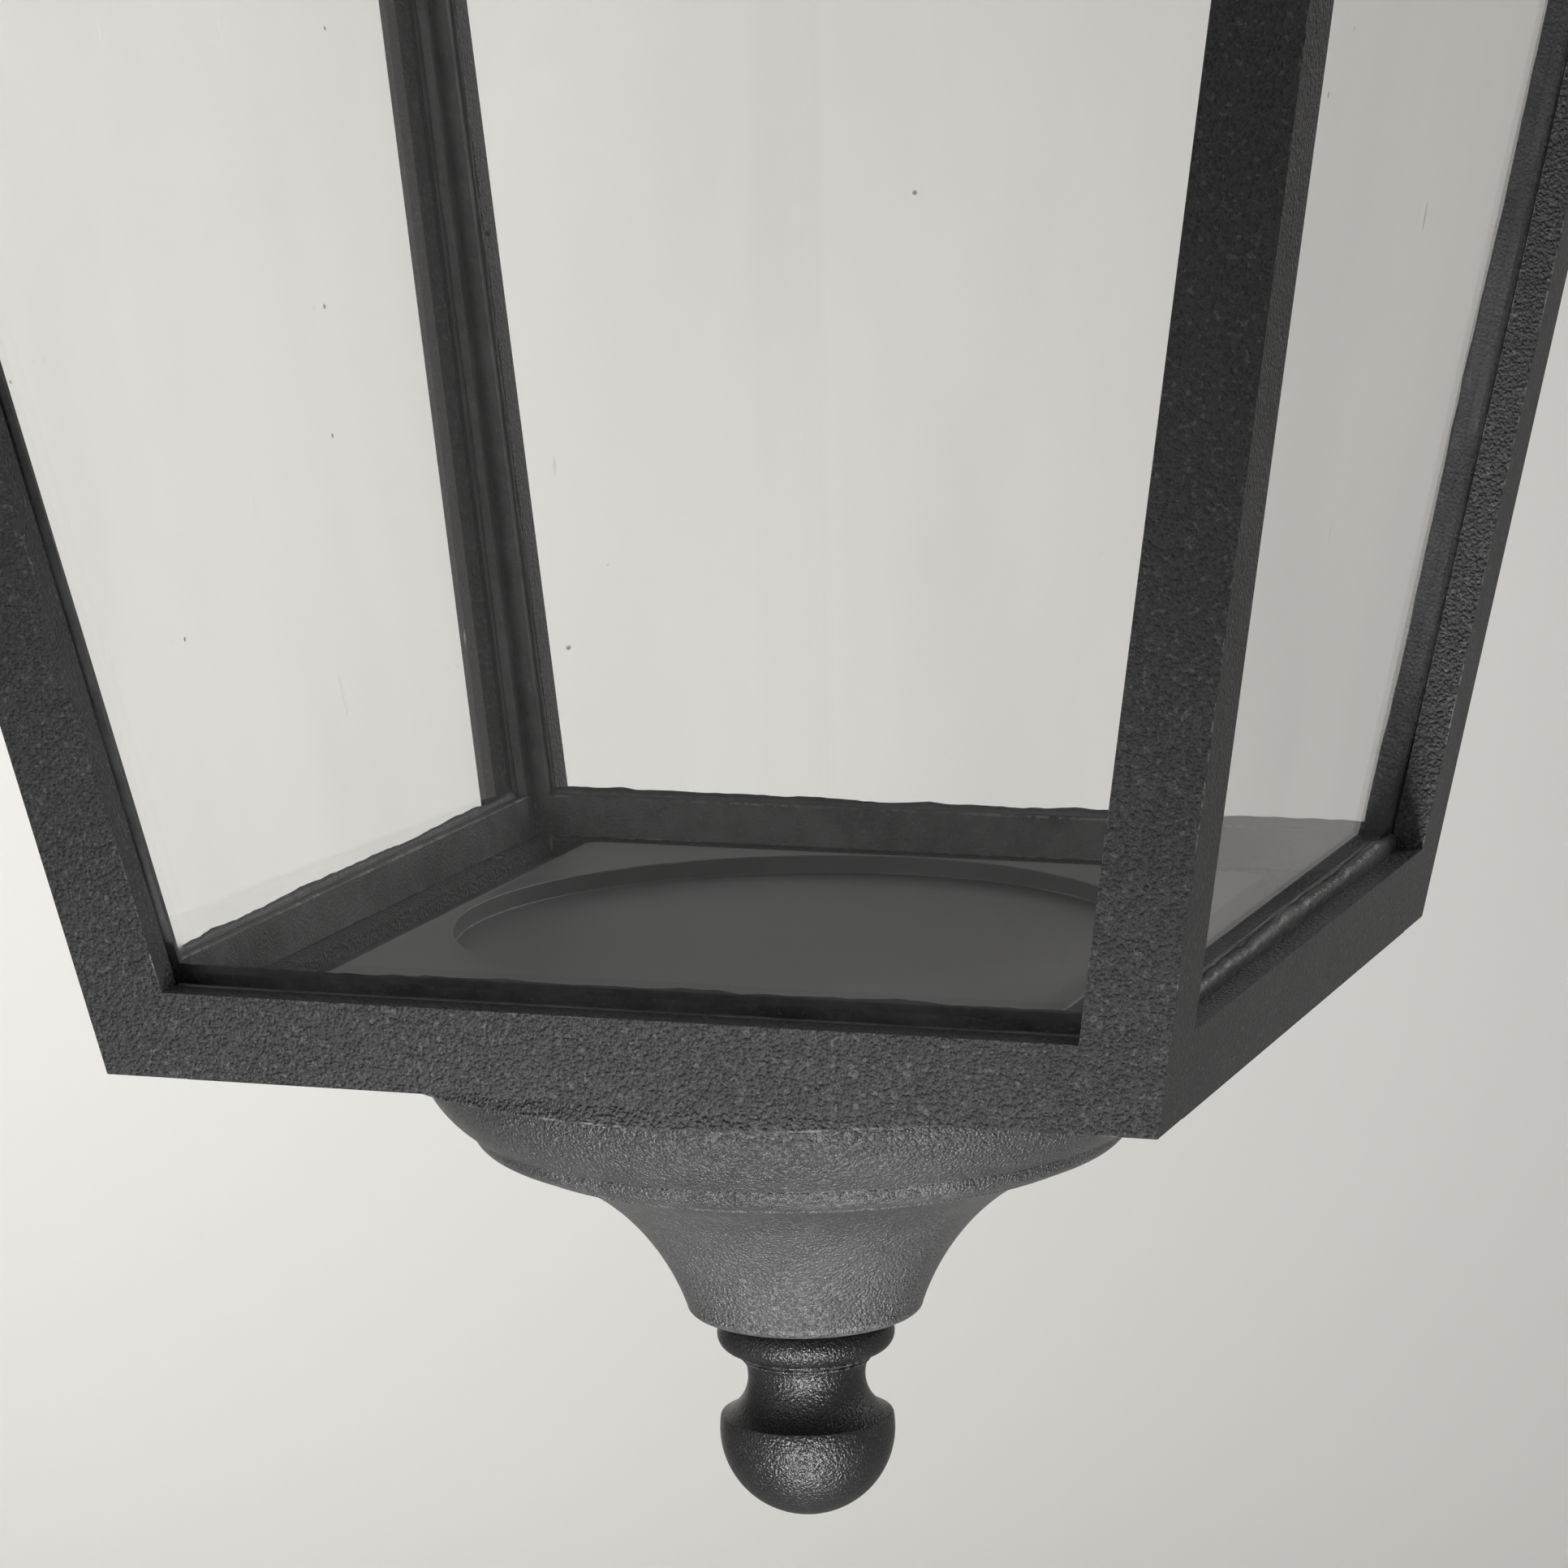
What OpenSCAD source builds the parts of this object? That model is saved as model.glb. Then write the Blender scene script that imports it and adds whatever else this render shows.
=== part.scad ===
// Hanging lantern: a tapered four-sided glazed cage under a hipped roof, a turned base
// with a ball finial, and a short chain from a ceiling canopy.
// Heights in the modules are measured up from the lower edge of the cage, and the whole
// lantern is hung so that the origin is on the ceiling. +Z is up.

/* [Cage] */
// Width of the cage over its faces, at its lower edge
base_w = 184; // [150:1:230]
// Height of the cage from its lower edge to the cornice
cage_h = 280; // [240:1:340]
// How far each face leans out for one unit of height
flare = 0.188; // [0.12:0.002:0.22]
// Width of a leg, seen on the face
bar_w = 15; // [13:0.5:20]
// Height of a rail, seen on the face
rail_h = 15.3; // [14:0.1:20]
// Thickness of the legs and rails, from the face to the glass
bar_t = 6.2; // [4:0.1:7]
// Height of the top of the inner flange of the lower rails
flange_z = 10; // [9:0.1:12]
// Thickness of the inner flange
flange_t = 3; // [2.5:0.1:4]
// Width of the flange, from the inside of the rail's wall
flange_w = 9.5; // [9:0.5:13]

/* [Cornice and roof] */
// Height of the cornice's lower step
cornice_step_h = 4; // [3:0.5:6]
// Height of the cornice's upper step
cornice_h = 7; // [5:0.5:10]
// How far the cornice's lower step stands out from the cage
cornice_step_out = 4; // [3:0.5:6]
// How far the cornice's upper step stands out from the cage
cornice_out = 9; // [7:0.5:14]
// How far the cornice reaches inwards
cornice_in = 12; // [10:0.5:16]
// Height of the sloping roof
roof_h = 75; // [60:1:95]
// Width of the flat top of the roof
roof_top_w = 88; // [80:1:100]
// Level thickness of a roof panel
roof_t = 5; // [4:0.5:7]

/* [Glazing] */
// Thickness of a glass pane
glass_t = 3; // [2:0.5:4]
// Clearance on each side of a pane
glass_gap = 0.15; // [0.1:0.05:0.4]
// Gap between a pane's side and the pane round the corner
pane_corner_gap = 2.4; // [2.2:0.1:3]
// Gap between the top of a pane and the cornice
pane_top_gap = 4; // [2:0.5:8]
// Thickness of a glazing bead and a corner angle
bead_t = 2.2; // [1.6:0.1:3]
// Height of a glazing bead
bead_h = 8; // [5:0.5:10]
// Radius of a glazing screw's shank
angle_screw_r = 1.4; // [1:0.1:2]

/* [Floor] */
// Thickness of the square tray that closes the cage
tray_t = 4; // [3:0.5:6]
// Gap between the tray and the rails
tray_gap = 0.6; // [0.3:0.1:1.5]
// Width of the raised floor plate
floor_w = 132; // [110:1:140]
// Height of the floor plate above the tray
floor_h = 6.4; // [5.8:0.1:9]
// Thickness of the floor plate's sheet
floor_t = 1.5; // [1:0.1:2]
// Radius of the round dish pressed in the floor plate
floor_dish_r = 61; // [50:0.5:62]
// Depth of the round dish
floor_dish_depth = 3.4; // [2:0.1:3.6]
// Distance of the floor plate's fixings from the middle, along X and along Y
floor_screw_at = 48; // [40:1:52]
// Distance of the tray's screws from the middle of each rail
tray_screw_at = 60; // [50:1:70]

/* [Turned base] */
// Radius of the round rim under the cage
rim_r = 80; // [74:0.5:86]
// Depth of the rim below the cage
rim_h = 6.8; // [5:0.2:9]
// Radius of the bowl under the rim
bowl_r = 68.8; // [60:0.2:72]
// Radius at the bowl's lower edge
bowl_low_r = 60.2; // [57:0.2:63]
// Depth of the bowl's lower edge below the cage
bowl_low = 21.8; // [19:0.2:24]
// Radius of the bead under the bowl
step_r = 53; // [48:0.5:54]
// Depth of the bead's lower edge below the cage
step_low = 27.4; // [25:0.2:31]
// Radius of the base's foot, where the long hollow moulding ends
foot_r = 21.3; // [19:0.1:24]
// Depth of the end of the hollow moulding below the cage
foot_low = 56.8; // [52:0.2:64]
// Radius of the hollow moulding's curve
cove_curve = 46.6; // [42:0.2:60]
// Depth of the base's lower end below the cage
base_low = 59.2; // [56:0.2:68]
// Wall of the base casting
base_wall = 3.4; // [3:0.1:5]
// Radius of the tie stud
stud_r = 4; // [3:0.5:5]
// Clearance of the tie stud in the castings
stud_gap = 0.3; // [0.1:0.05:0.6]

/* [Finial] */
// Radius of the ball
ball_r = 15.85; // [13:0.05:19]
// Radius of the finial's upper ring
ring_r = 16.1; // [14:0.1:19]
// Radius of the finial's neck
neck_r = 11; // [9:0.1:13]
// Depth of the ball's centre below the base's lower end
ball_drop = 21.2; // [18:0.1:24]
// Radius of the roll round the upper ring
roll_r = 3.25; // [2.5:0.05:4]

/* [Chimney] */
// Radius of the vent collar
collar_r = 34; // [30:0.5:38]
// Height of the vent collar
collar_h = 24; // [20:1:32]
// Wall of the vent collar
collar_t = 2.5; // [2:0.1:4]
// Radius of a vent hole
vent_r = 4.5; // [3:0.5:6]
// Number of vent holes
vent_count = 8; // [6:1:10]
// Radius of the chimney cap
cap_r = 54; // [48:1:62]
// Height of the chimney cap
cap_h = 38; // [34:1:46]
// Thickness of the crown plate
crown_t = 4; // [3:0.5:6]

/* [Lamp] */
// Outer radius of the threaded tube through the top
tube_r = 5; // [4:0.5:6]
// Wall of the threaded tube
tube_t = 1.5; // [1:0.1:2]
// Distance from the crown plate down to the lampholder
holder_drop = 28; // [24:1:40]
// Outer radius of the lampholder
holder_r = 19.5; // [18:0.5:23]
// Height of the lampholder's body
holder_h = 32; // [30:1:40]
// Radius of the lamp's screw cap
lamp_cap_r = 13.2; // [13:0.1:13.4]
// Radius of the lamp's glass
lamp_r = 30; // [22:0.5:32]
// Length of the lamp's glass below the lampholder
lamp_l = 76; // [70:1:90]
// Clearance round the lamp's cap in its holder
lamp_gap = 0.1; // [0.05:0.05:0.4]
// Wall of the lamp's glass
lamp_t = 1; // [0.8:0.1:1.5]

/* [Chain and ceiling] */
// Radius of the wire of a chain link
link_wire_r = 2.5; // [2:0.1:3]
// Radius of a link's end, to the middle of the wire
link_end_r = 8; // [7.5:0.1:10]
// Length of a link's straight sides
link_side = 22; // [18:1:30]
// Radius of the wire of the two eyes
eye_wire_r = 3; // [2.5:0.1:4]
// Radius of the two eyes, to the middle of the wire
eye_r = 10; // [9.5:0.1:12]
// Gap where one link hangs in the next
link_gap = 0.3; // [0.2:0.05:0.5]
// Radius of the ceiling canopy
canopy_r = 60; // [55:1:70]
// Height of the ceiling canopy
canopy_h = 28; // [24:1:36]
// Wall of the ceiling canopy
canopy_t = 1.6; // [1.2:0.1:2.5]
// Length of the ceiling bracket
bracket_l = 100; // [92:1:104]
// Width of the ceiling bracket
bracket_w = 22; // [18:1:28]
// Thickness of the ceiling bracket
bracket_t = 3; // [2.5:0.5:4]
// Distance between the two ceiling screws
bracket_pitch = 76; // [70:1:80]
// Radius of the ceiling screws' holes
bracket_hole_r = 2.5; // [2:0.1:3]

/* [Hidden] */
$fn = 96;
eps = 0.01;

// Half of the cage's width over its faces at a height, and at its top
function half_w(z) = base_w / 2 + flare * z;
top_half = half_w(cage_h);

// Levels inside the cage
tray_top = flange_z - flange_t;
floor_top = tray_top + floor_h;
tray_half = half_w(tray_top - tray_t) - bar_t - tray_gap;
well_half = half_w(tray_top) - bar_t - flange_w;
pane_d0 = bar_t + glass_gap;
pane_d1 = pane_d0 + glass_t;
bead_d0 = pane_d1 + glass_gap;
bead_d1 = bead_d0 + bead_t;
tray_screw_r = 2;
tray_screw_y = (half_w(tray_top) - bar_t + well_half) / 2;
dish_z = floor_top - floor_dish_depth;
nut_seat = tray_top - tray_t / 2;
washer_t = 0.6;
floor_screw_r = 1.5;
floor_boss_r = 4;
screw_fit = 0.1;
head_ratio = 1.85;

// Levels of the roof and chimney
cornice_top = cage_h + cornice_step_h + cornice_h;
roof_low_half = top_half + cornice_step_out;
roof_top_half = roof_top_w / 2;
crown_z = cornice_top + roof_h;
collar_z = crown_z + crown_t;
cap_z = collar_z + collar_h;
cap_top = cap_z - 2 + cap_h;
loop_collar_r = 11;
loop_collar_h = 10;
loop_z = cap_top + loop_collar_h + eye_r + 1;
tube_low = crown_z - holder_drop - 7;
tube_high = cap_top + loop_collar_h - 3;
nut_h = 8;
nut_r = 9.8;
holder_z = crown_z - holder_drop - 16;
holder_low = holder_z - holder_h;
thread_h = 26;

// Chain, from the ceiling down: each level is the middle of the wire where the next piece hangs
eye_collar_z = -canopy_h - 8;
eye_z = eye_collar_z - eye_r - 1;
link_len = link_side + 2 * link_end_r;
hang_1 = eye_z - eye_r;
hang_2 = hang_1 + eye_wire_r + link_wire_r + link_gap - link_len;
hang_3 = hang_2 + 2 * link_wire_r + link_gap - link_len;
hang_4 = hang_3 + 2 * link_wire_r + link_gap - link_len;
loop_top = hang_4 + eye_wire_r + link_wire_r + link_gap;

// Level of the cage's lower edge below the ceiling
drop = loop_z + eye_r - loop_top;

// ---------------------------------------------------------------- shapes that repeat

// Puts a piece that is drawn on the cage in its place under the ceiling
module hung() {
    translate([0, 0, -drop]) children();
}

// Places a piece of the front on side i: 0 front, 1 right, 2 back, 3 left
module on_side(i) {
    rotate([0, 0, 90 * i]) children();
}

// A solid with the same number of points in its outer and its inner ring
module ring_solid(outer, inner) {
    n = len(outer);
    polyhedron(
        points = concat(outer, inner),
        faces = concat(
            [[for (i = [n - 1:-1:0]) i]],
            [[for (i = [0:n - 1]) n + i]],
            [for (i = [0:n - 1]) [i, (i + 1) % n, n + (i + 1) % n, n + i]]
        )
    );
}

// A flat piece in the leaning front: an outline of [x, z] points between two depths
module face_prism(outline, d0, d1) {
    ring_solid(
        [for (p = outline) [p[0], -half_w(p[1]) + d0, p[1]]],
        [for (p = outline) [p[0], -half_w(p[1]) + d1, p[1]]]
    );
}

// The outline of a piece that keeps a distance from the leaning corners on both sides
function side_outline(z0, z1, inset) = [
    [-half_w(z0) + inset, z0], [half_w(z0) - inset, z0],
    [half_w(z1) - inset, z1], [-half_w(z1) + inset, z1]
];

// A level bar along the front with mitred ends, between two levels and two half widths,
// given at the lower and at the upper level
module mitred_bar(z0, z1, out0, out1, in0, in1) {
    ring_solid(
        [[-out0, -out0, z0], [out0, -out0, z0], [out1, -out1, z1], [-out1, -out1, z1]],
        [[-in0, -in0, z0], [in0, -in0, z0], [in1, -in1, z1], [-in1, -in1, z1]]
    );
}

// An angle that follows the front right corner, between two depths from the faces
module corner_bar(z0, z1, d0, d1, width) {
    face_prism([[half_w(z0) - width, z0], [half_w(z0) - d0, z0],
                [half_w(z1) - d0, z1], [half_w(z1) - width, z1]], d0, d1);
    on_side(1) face_prism([[-half_w(z0) + d0, z0], [-half_w(z0) + width, z0],
                           [-half_w(z1) + width, z1], [-half_w(z1) + d0, z1]], d0, d1);
}

// A square block that narrows with height
module square_taper(w0, w1, z0, z1) {
    ring_solid(
        [[-w0, -w0, z0] / 2 + [0, 0, z0 / 2], [w0, -w0, z0] / 2 + [0, 0, z0 / 2],
         [w1, -w1, z1] / 2 + [0, 0, z1 / 2], [-w1, -w1, z1] / 2 + [0, 0, z1 / 2]],
        [[-w0, w0, z0] / 2 + [0, 0, z0 / 2], [w0, w0, z0] / 2 + [0, 0, z0 / 2],
         [w1, w1, z1] / 2 + [0, 0, z1 / 2], [-w1, w1, z1] / 2 + [0, 0, z1 / 2]]
    );
}

// A tube from z0 up to z1
module tube(r_out, r_in, z0, z1) {
    translate([0, 0, z0]) difference() {
        cylinder(r = r_out, h = z1 - z0);
        translate([0, 0, -1]) cylinder(r = r_in, h = z1 - z0 + 2);
    }
}

// A screw with a round head: the head lies under the level z, the shank rises from it
module screw_up(r, z, shank, head) {
    translate([0, 0, z - head]) cylinder(r = r * head_ratio, h = head);
    translate([0, 0, z - eps]) cylinder(r = r, h = shank + eps);
}

// A round eye standing in the XZ plane
module eye(z) {
    translate([0, 0, z]) rotate([90, 0, 0]) rotate_extrude() translate([eye_r, 0]) circle(r = eye_wire_r);
}

// A chain link in the XZ plane: the middle of its lower wire is at the level z
module link(z) {
    translate([0, 0, z + link_end_r]) {
        for (end = [0, 1]) {
            translate([0, 0, end * link_side]) rotate([90, 180 * (1 - end), 0])
                rotate_extrude(angle = 180) translate([link_end_r, 0]) circle(r = link_wire_r);
        }
        for (side = [-1, 1]) {
            translate([side * link_end_r, 0, 0]) cylinder(r = link_wire_r, h = link_side);
        }
    }
}

// Points of an arc with a given radius between two points, bulging to the right of the way
function arc(p, q, r, steps = 12) =
    let (mid = (p + q) / 2,
         half = norm(q - p) / 2,
         along = (q - p) / (2 * half),
         away = [-along[1], along[0]],
         centre = mid + away * sqrt(r * r - half * half),
         sweep = asin(half / r))
    [for (i = [0:steps]) let (a = -sweep + 2 * sweep * i / steps)
        centre - away * r * cos(a) + along * r * sin(a)];

// ---------------------------------------------------------------- cage

module leg(i) {
    color("#3b3c3e") hung() on_side(i) difference() {
        union() {
            corner_bar(0, cage_h, 0, bar_t, bar_w);
            // Rib in the corner that takes the glazing screws
            face_prism([[half_w(flange_z) - bead_d0, flange_z], [half_w(flange_z) - bar_t, flange_z],
                        [half_w(cage_h) - bar_t, cage_h], [half_w(cage_h) - bead_d0, cage_h]],
                       bar_t - eps, bead_d0);
        }
        for (z = angle_screw_levels) at_corner_screw(z) cylinder(r = angle_screw_r, h = angle_screw_l, $fn = 32);
    }
}

module lower_rail(i) {
    wall_low = half_w(tray_top) - bar_t;
    wall_high = half_w(flange_z) - bar_t;
    color("#3b3c3e") hung() on_side(i) difference() {
        union() {
            face_prism(side_outline(0, rail_h, bar_w), 0, bar_t);
            mitred_bar(tray_top, flange_z, wall_low, wall_high, well_half, well_half);
        }
        for (side = [-1, 1]) {
            translate([side * tray_screw_at, -tray_screw_y, tray_top - 1])
                cylinder(r = tray_screw_r + screw_fit, h = flange_t + 2, $fn = 32);
        }
    }
}

module top_rail(i) {
    step_top = cage_h + cornice_step_h;
    inner = top_half - cornice_in;
    color("#3b3c3e") hung() on_side(i) {
        face_prism(side_outline(cage_h - rail_h, cage_h, bar_w), 0, bar_t);
        mitred_bar(cage_h, step_top, top_half + cornice_step_out, top_half + cornice_step_out, inner, inner);
        mitred_bar(step_top, cornice_top, top_half + cornice_out, top_half + cornice_out, inner, inner);
    }
}

// ---------------------------------------------------------------- glazing

module pane(i) {
    color("#dfe3e4", 0.35) hung() on_side(i)
        face_prism(side_outline(flange_z, cage_h - pane_top_gap, pane_d1 + pane_corner_gap),
                   pane_d0, pane_d1);
}

module bead(i) {
    color("#4a4b4d") hung() on_side(i)
        face_prism(side_outline(flange_z, flange_z + bead_h, bead_d1 + glass_gap), bead_d0, bead_d1);
}

module corner_angle(i) {
    color("#4a4b4d") hung() on_side(i) difference() {
        corner_bar(flange_z + bead_h, cage_h, bead_d0, bead_d1, bar_w);
        for (z = angle_screw_levels) angle_screw_hole(z);
    }
}

// The glazing screws lie level, at 45 degrees, from inside the corner into the leg's rib
angle_screw_levels = [cage_h * 0.7, cage_h * 0.92];
angle_screw_l = 6;
angle_screw_head_h = 1.4;
angle_screw_seat = -bead_t * sqrt(0.5) - angle_screw_r * head_ratio - 0.02;

module at_corner_screw(z) {
    corner = half_w(z) - (bead_d0 + bead_d1) / 2;
    translate([corner, -corner, z]) rotate([0, 0, -45]) rotate([0, 90, 0]) children();
}

module angle_screw_hole(z) {
    at_corner_screw(z) translate([0, 0, -2 * bead_t])
        cylinder(r = angle_screw_r + screw_fit, h = 4 * bead_t, $fn = 32);
}

module angle_screws() {
    color("#9a9b9c") hung() for (i = [0:3], z = angle_screw_levels) on_side(i) at_corner_screw(z) {
        translate([0, 0, angle_screw_seat - angle_screw_head_h])
            cylinder(r = angle_screw_r * head_ratio, h = angle_screw_head_h, $fn = 32);
        translate([0, 0, angle_screw_seat - eps])
            cylinder(r = angle_screw_r, h = angle_screw_l - angle_screw_seat - 0.2, $fn = 32);
    }
}

// ---------------------------------------------------------------- floor

module base_tray() {
    color("#333436") hung() difference() {
        translate([-tray_half, -tray_half, tray_top - tray_t]) cube([2 * tray_half, 2 * tray_half, tray_t]);
        translate([0, 0, tray_top - tray_t - 1]) cylinder(r = stud_r + stud_gap, h = tray_t + 2);
        translate([0, 0, nut_seat]) cylinder(r = stud_r + 4.6, h = tray_t);
        for (i = [0:3], side = [-1, 1]) on_side(i)
            translate([side * tray_screw_at, -tray_screw_y, tray_top - tray_t - 1])
                cylinder(r = tray_screw_r + screw_fit, h = tray_t + 2, $fn = 32);
        for (x = [-1, 1], y = [-1, 1])
            translate([x * floor_screw_at, y * floor_screw_at, tray_top - tray_t - 1])
                cylinder(r = floor_screw_r + screw_fit, h = tray_t + 2, $fn = 32);
    }
}

module tray_screws() {
    color("#9a9b9c") hung() for (i = [0:3], side = [-1, 1]) on_side(i)
        translate([side * tray_screw_at, -tray_screw_y, 0])
            screw_up(tray_screw_r, tray_top - tray_t, tray_t + flange_t - 0.2, 1.8, $fn = 32);
}

module floor_plate() {
    edge_h = 1.2;
    edge_w = 8;
    inside = floor_w - 2 * floor_t;
    color("#5b5c5e") hung() {
        difference() {
            union() {
                square_taper(floor_w, floor_w, tray_top, floor_top - edge_h);
                square_taper(floor_w, floor_w - edge_w, floor_top - edge_h, floor_top);
            }
            // Hollow under the sheet, round the dish and under it
            difference() {
                translate([-inside / 2, -inside / 2, tray_top - 1]) cube([inside, inside, floor_h - floor_t + 1]);
                translate([0, 0, dish_z - floor_t]) cylinder(r = floor_dish_r + floor_t, h = floor_h);
            }
            translate([0, 0, dish_z]) cylinder(r = floor_dish_r, h = floor_h);
        }
        for (x = [-1, 1], y = [-1, 1])
            translate([x * floor_screw_at, y * floor_screw_at, 0])
                tube(floor_boss_r, floor_screw_r, tray_top, floor_top - floor_t / 2, $fn = 32);
    }
}

module floor_screws() {
    color("#9a9b9c") hung() for (x = [-1, 1], y = [-1, 1])
        translate([x * floor_screw_at, y * floor_screw_at, 0])
            screw_up(floor_screw_r, tray_top - tray_t, tray_t + floor_h - floor_t - 1, 1.6, $fn = 32);
}

// ---------------------------------------------------------------- turned base and finial

// Quarter of an ellipse from the outer radius to the inner one, bulging outwards
function ovolo(r0, r1, z0, z1, from, to, steps = 10) =
    [for (i = [0:steps]) let (a = from + (to - from) * i / steps)
        [r1 + (r0 - r1) * cos(a), z0 + (z1 - z0) * sin(a)]];

module base_casting() {
    cavity_low = -(step_low + foot_low) / 2 + base_wall;
    color("#414244") hung() difference() {
        rotate_extrude() polygon(concat(
            [[0, tray_top - tray_t], [rim_r, tray_top - tray_t], [rim_r, -rim_h]],
            ovolo(bowl_r, bowl_low_r - 14.2, -rim_h, -bowl_low - 4.2, 0, 51.4),
            [[bowl_low_r - 1, -bowl_low - 0.5], [(bowl_low_r + step_r) / 2, -bowl_low - 2],
             [step_r + 1, -step_low + 1.4], [step_r, -step_low]],
            [[step_r - 2.6, -step_low - 0.3]],
            arc([step_r - 3, -step_low - 0.6], [foot_r, -foot_low], cove_curve, 16),
            ovolo(foot_r, foot_r - 5, -foot_low, -base_low, 10, 90, 5),
            [[0, -base_low]]
        ));
        // Hollow of the casting
        rotate_extrude() polygon([
            [0, tray_top - tray_t + 1], [rim_r - base_wall, tray_top - tray_t + 1],
            [rim_r - base_wall, -rim_h + base_wall], [bowl_r - base_wall, -rim_h + base_wall],
            [bowl_r - base_wall - 1.6, -rim_h - base_wall],
            [bowl_low_r - base_wall - 3.4, -bowl_low + base_wall + 1],
            [step_r - 9, -step_low + base_wall], [step_r - 22, -step_low - 2.4],
            [stud_r + base_wall + 4, cavity_low], [0, cavity_low]
        ]);
        translate([0, 0, -base_low - 1]) cylinder(r = stud_r + stud_gap, h = base_low + 2);
    }
}

module tie_stud() {
    reach = 12;
    color("#a8a9aa") hung() translate([0, 0, -base_low - reach])
        cylinder(r = stud_r, h = base_low + reach + dish_z - floor_t - 0.2);
}

module stud_washer() {
    color("#9a9b9c") hung() tube(stud_r + 4, stud_r + 0.1, nut_seat, nut_seat + washer_t);
}

module stud_nut() {
    seat = nut_seat + washer_t;
    top = dish_z - floor_t - 0.2;
    color("#9a9b9c") hung() difference() {
        translate([0, 0, seat]) cylinder(r = stud_r * 1.85, h = top - seat, $fn = 6);
        translate([0, 0, seat - 1]) cylinder(r = stud_r, h = top - seat + 2);
    }
}

module ball_finial() {
    top = -base_low;
    roll_low = top - 2 * roll_r;
    ball_z = top - ball_drop;
    neck_top = roll_low - 1.5;
    shoulder = 2.7;
    color("#2e2f31") hung() difference() {
        union() {
            // Upper ring
            translate([0, 0, top - roll_r]) rotate_extrude()
                translate([ring_r - roll_r, 0]) circle(r = roll_r);
            translate([0, 0, roll_low]) cylinder(r = ring_r - roll_r, h = 2 * roll_r);
            // Fillet under the ring, and the hollow neck down to the ball's shoulder
            rotate_extrude() polygon(concat(
                [[0, top - roll_r], [neck_r + 1.4, top - roll_r],
                 [neck_r + 1.4, neck_top + 0.4], [neck_r + 0.5, neck_top]],
                arc([neck_r, neck_top - 1], [ball_r - 0.3, ball_z + shoulder], 8, 10),
                [[ball_r - 0.3, ball_z + shoulder - 1], [0, ball_z + shoulder - 1]]
            ));
            // Ball, cut off at its shoulder
            intersection() {
                translate([0, 0, ball_z]) sphere(r = ball_r);
                translate([0, 0, ball_z - 2 * ball_r]) cylinder(r = 2 * ball_r, h = 2 * ball_r + shoulder);
            }
        }
        translate([0, 0, top - 13]) cylinder(r = stud_r, h = 20);
    }
}

// ---------------------------------------------------------------- roof and chimney

module roof_panel(i) {
    color("#3b3c3e") hung() on_side(i)
        mitred_bar(cornice_top, crown_z, roof_low_half, roof_top_half,
                   roof_low_half - roof_t, roof_top_half - roof_t);
}

module crown_plate() {
    air_r = 6;
    color("#3b3c3e") hung() difference() {
        translate([-roof_top_half - 2, -roof_top_half - 2, crown_z])
            cube([roof_top_w + 4, roof_top_w + 4, crown_t]);
        translate([0, 0, crown_z - 1]) cylinder(r = tube_r + stud_gap, h = crown_t + 2);
        for (a = [45:90:315]) rotate([0, 0, a]) translate([collar_r - collar_t - air_r - 3, 0, crown_z - 1])
            cylinder(r = air_r, h = crown_t + 2);
    }
}

module vent_collar() {
    foot_h = 2.5;
    color("#3b3c3e") hung() difference() {
        union() {
            tube(collar_r, collar_r - collar_t, collar_z, cap_z);
            tube(collar_r + 5, collar_r - collar_t, collar_z, collar_z + foot_h);
        }
        for (i = [0:vent_count - 1]) rotate([0, 0, i * 360 / vent_count])
            translate([0, 0, (collar_z + foot_h + cap_z) / 2]) rotate([0, 90, 0])
                cylinder(r = vent_r, h = collar_r + 5, $fn = 32);
    }
}

module chimney_cap() {
    brim_z = cap_z - 2;
    wall = 2.6;
    boss_r = tube_r + 8;
    inner_r = collar_r - collar_t;
    color("#3b3c3e") hung() rotate_extrude() polygon(concat(
        [[tube_r + stud_gap, cap_top], [boss_r, cap_top], [boss_r, cap_top - 3]],
        [for (p = arc([boss_r + 0.5, cap_top - 3.2], [cap_r, brim_z + wall], 70, 12)) p],
        [[cap_r, brim_z], [cap_r - wall, brim_z], [collar_r + 8, cap_z], [inner_r, cap_z],
         [inner_r, cap_z + 5.5], [boss_r + 0.5, cap_top - 9], [tube_r + stud_gap, cap_top - 9]]
    ));
}

module hanging_eye() {
    color("#2e2f31") hung() difference() {
        union() {
            eye(loop_z);
            translate([0, 0, cap_top]) cylinder(r = loop_collar_r, h = 4);
            translate([0, 0, cap_top + 4]) cylinder(r1 = loop_collar_r, r2 = 7.5, h = loop_collar_h - 5);
            translate([0, 0, cap_top + 4]) cylinder(r = 6.8, h = loop_collar_h - 3);
        }
        translate([0, 0, cap_top - 1]) cylinder(r = tube_r, h = tube_high - cap_top + 1);
        translate([0, 0, cap_top]) cylinder(r = tube_r - tube_t, h = 2 * loop_collar_h);
    }
}

module cable_bush() {
    mouth = loop_z - eye_r + eye_wire_r;
    color("#1d1d1e") hung() tube(tube_r - tube_t, tube_r - tube_t - 1, mouth - 4, mouth + 1);
}

module threaded_tube() {
    color("#c9a75a") hung() tube(tube_r, tube_r - tube_t, tube_low, tube_high);
}

module tube_nut() {
    color("#9a9b9c") hung() difference() {
        translate([0, 0, crown_z - nut_h]) cylinder(r = nut_r, h = nut_h, $fn = 6);
        translate([0, 0, crown_z - nut_h - 1]) cylinder(r = tube_r, h = nut_h + 2);
    }
}

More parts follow.
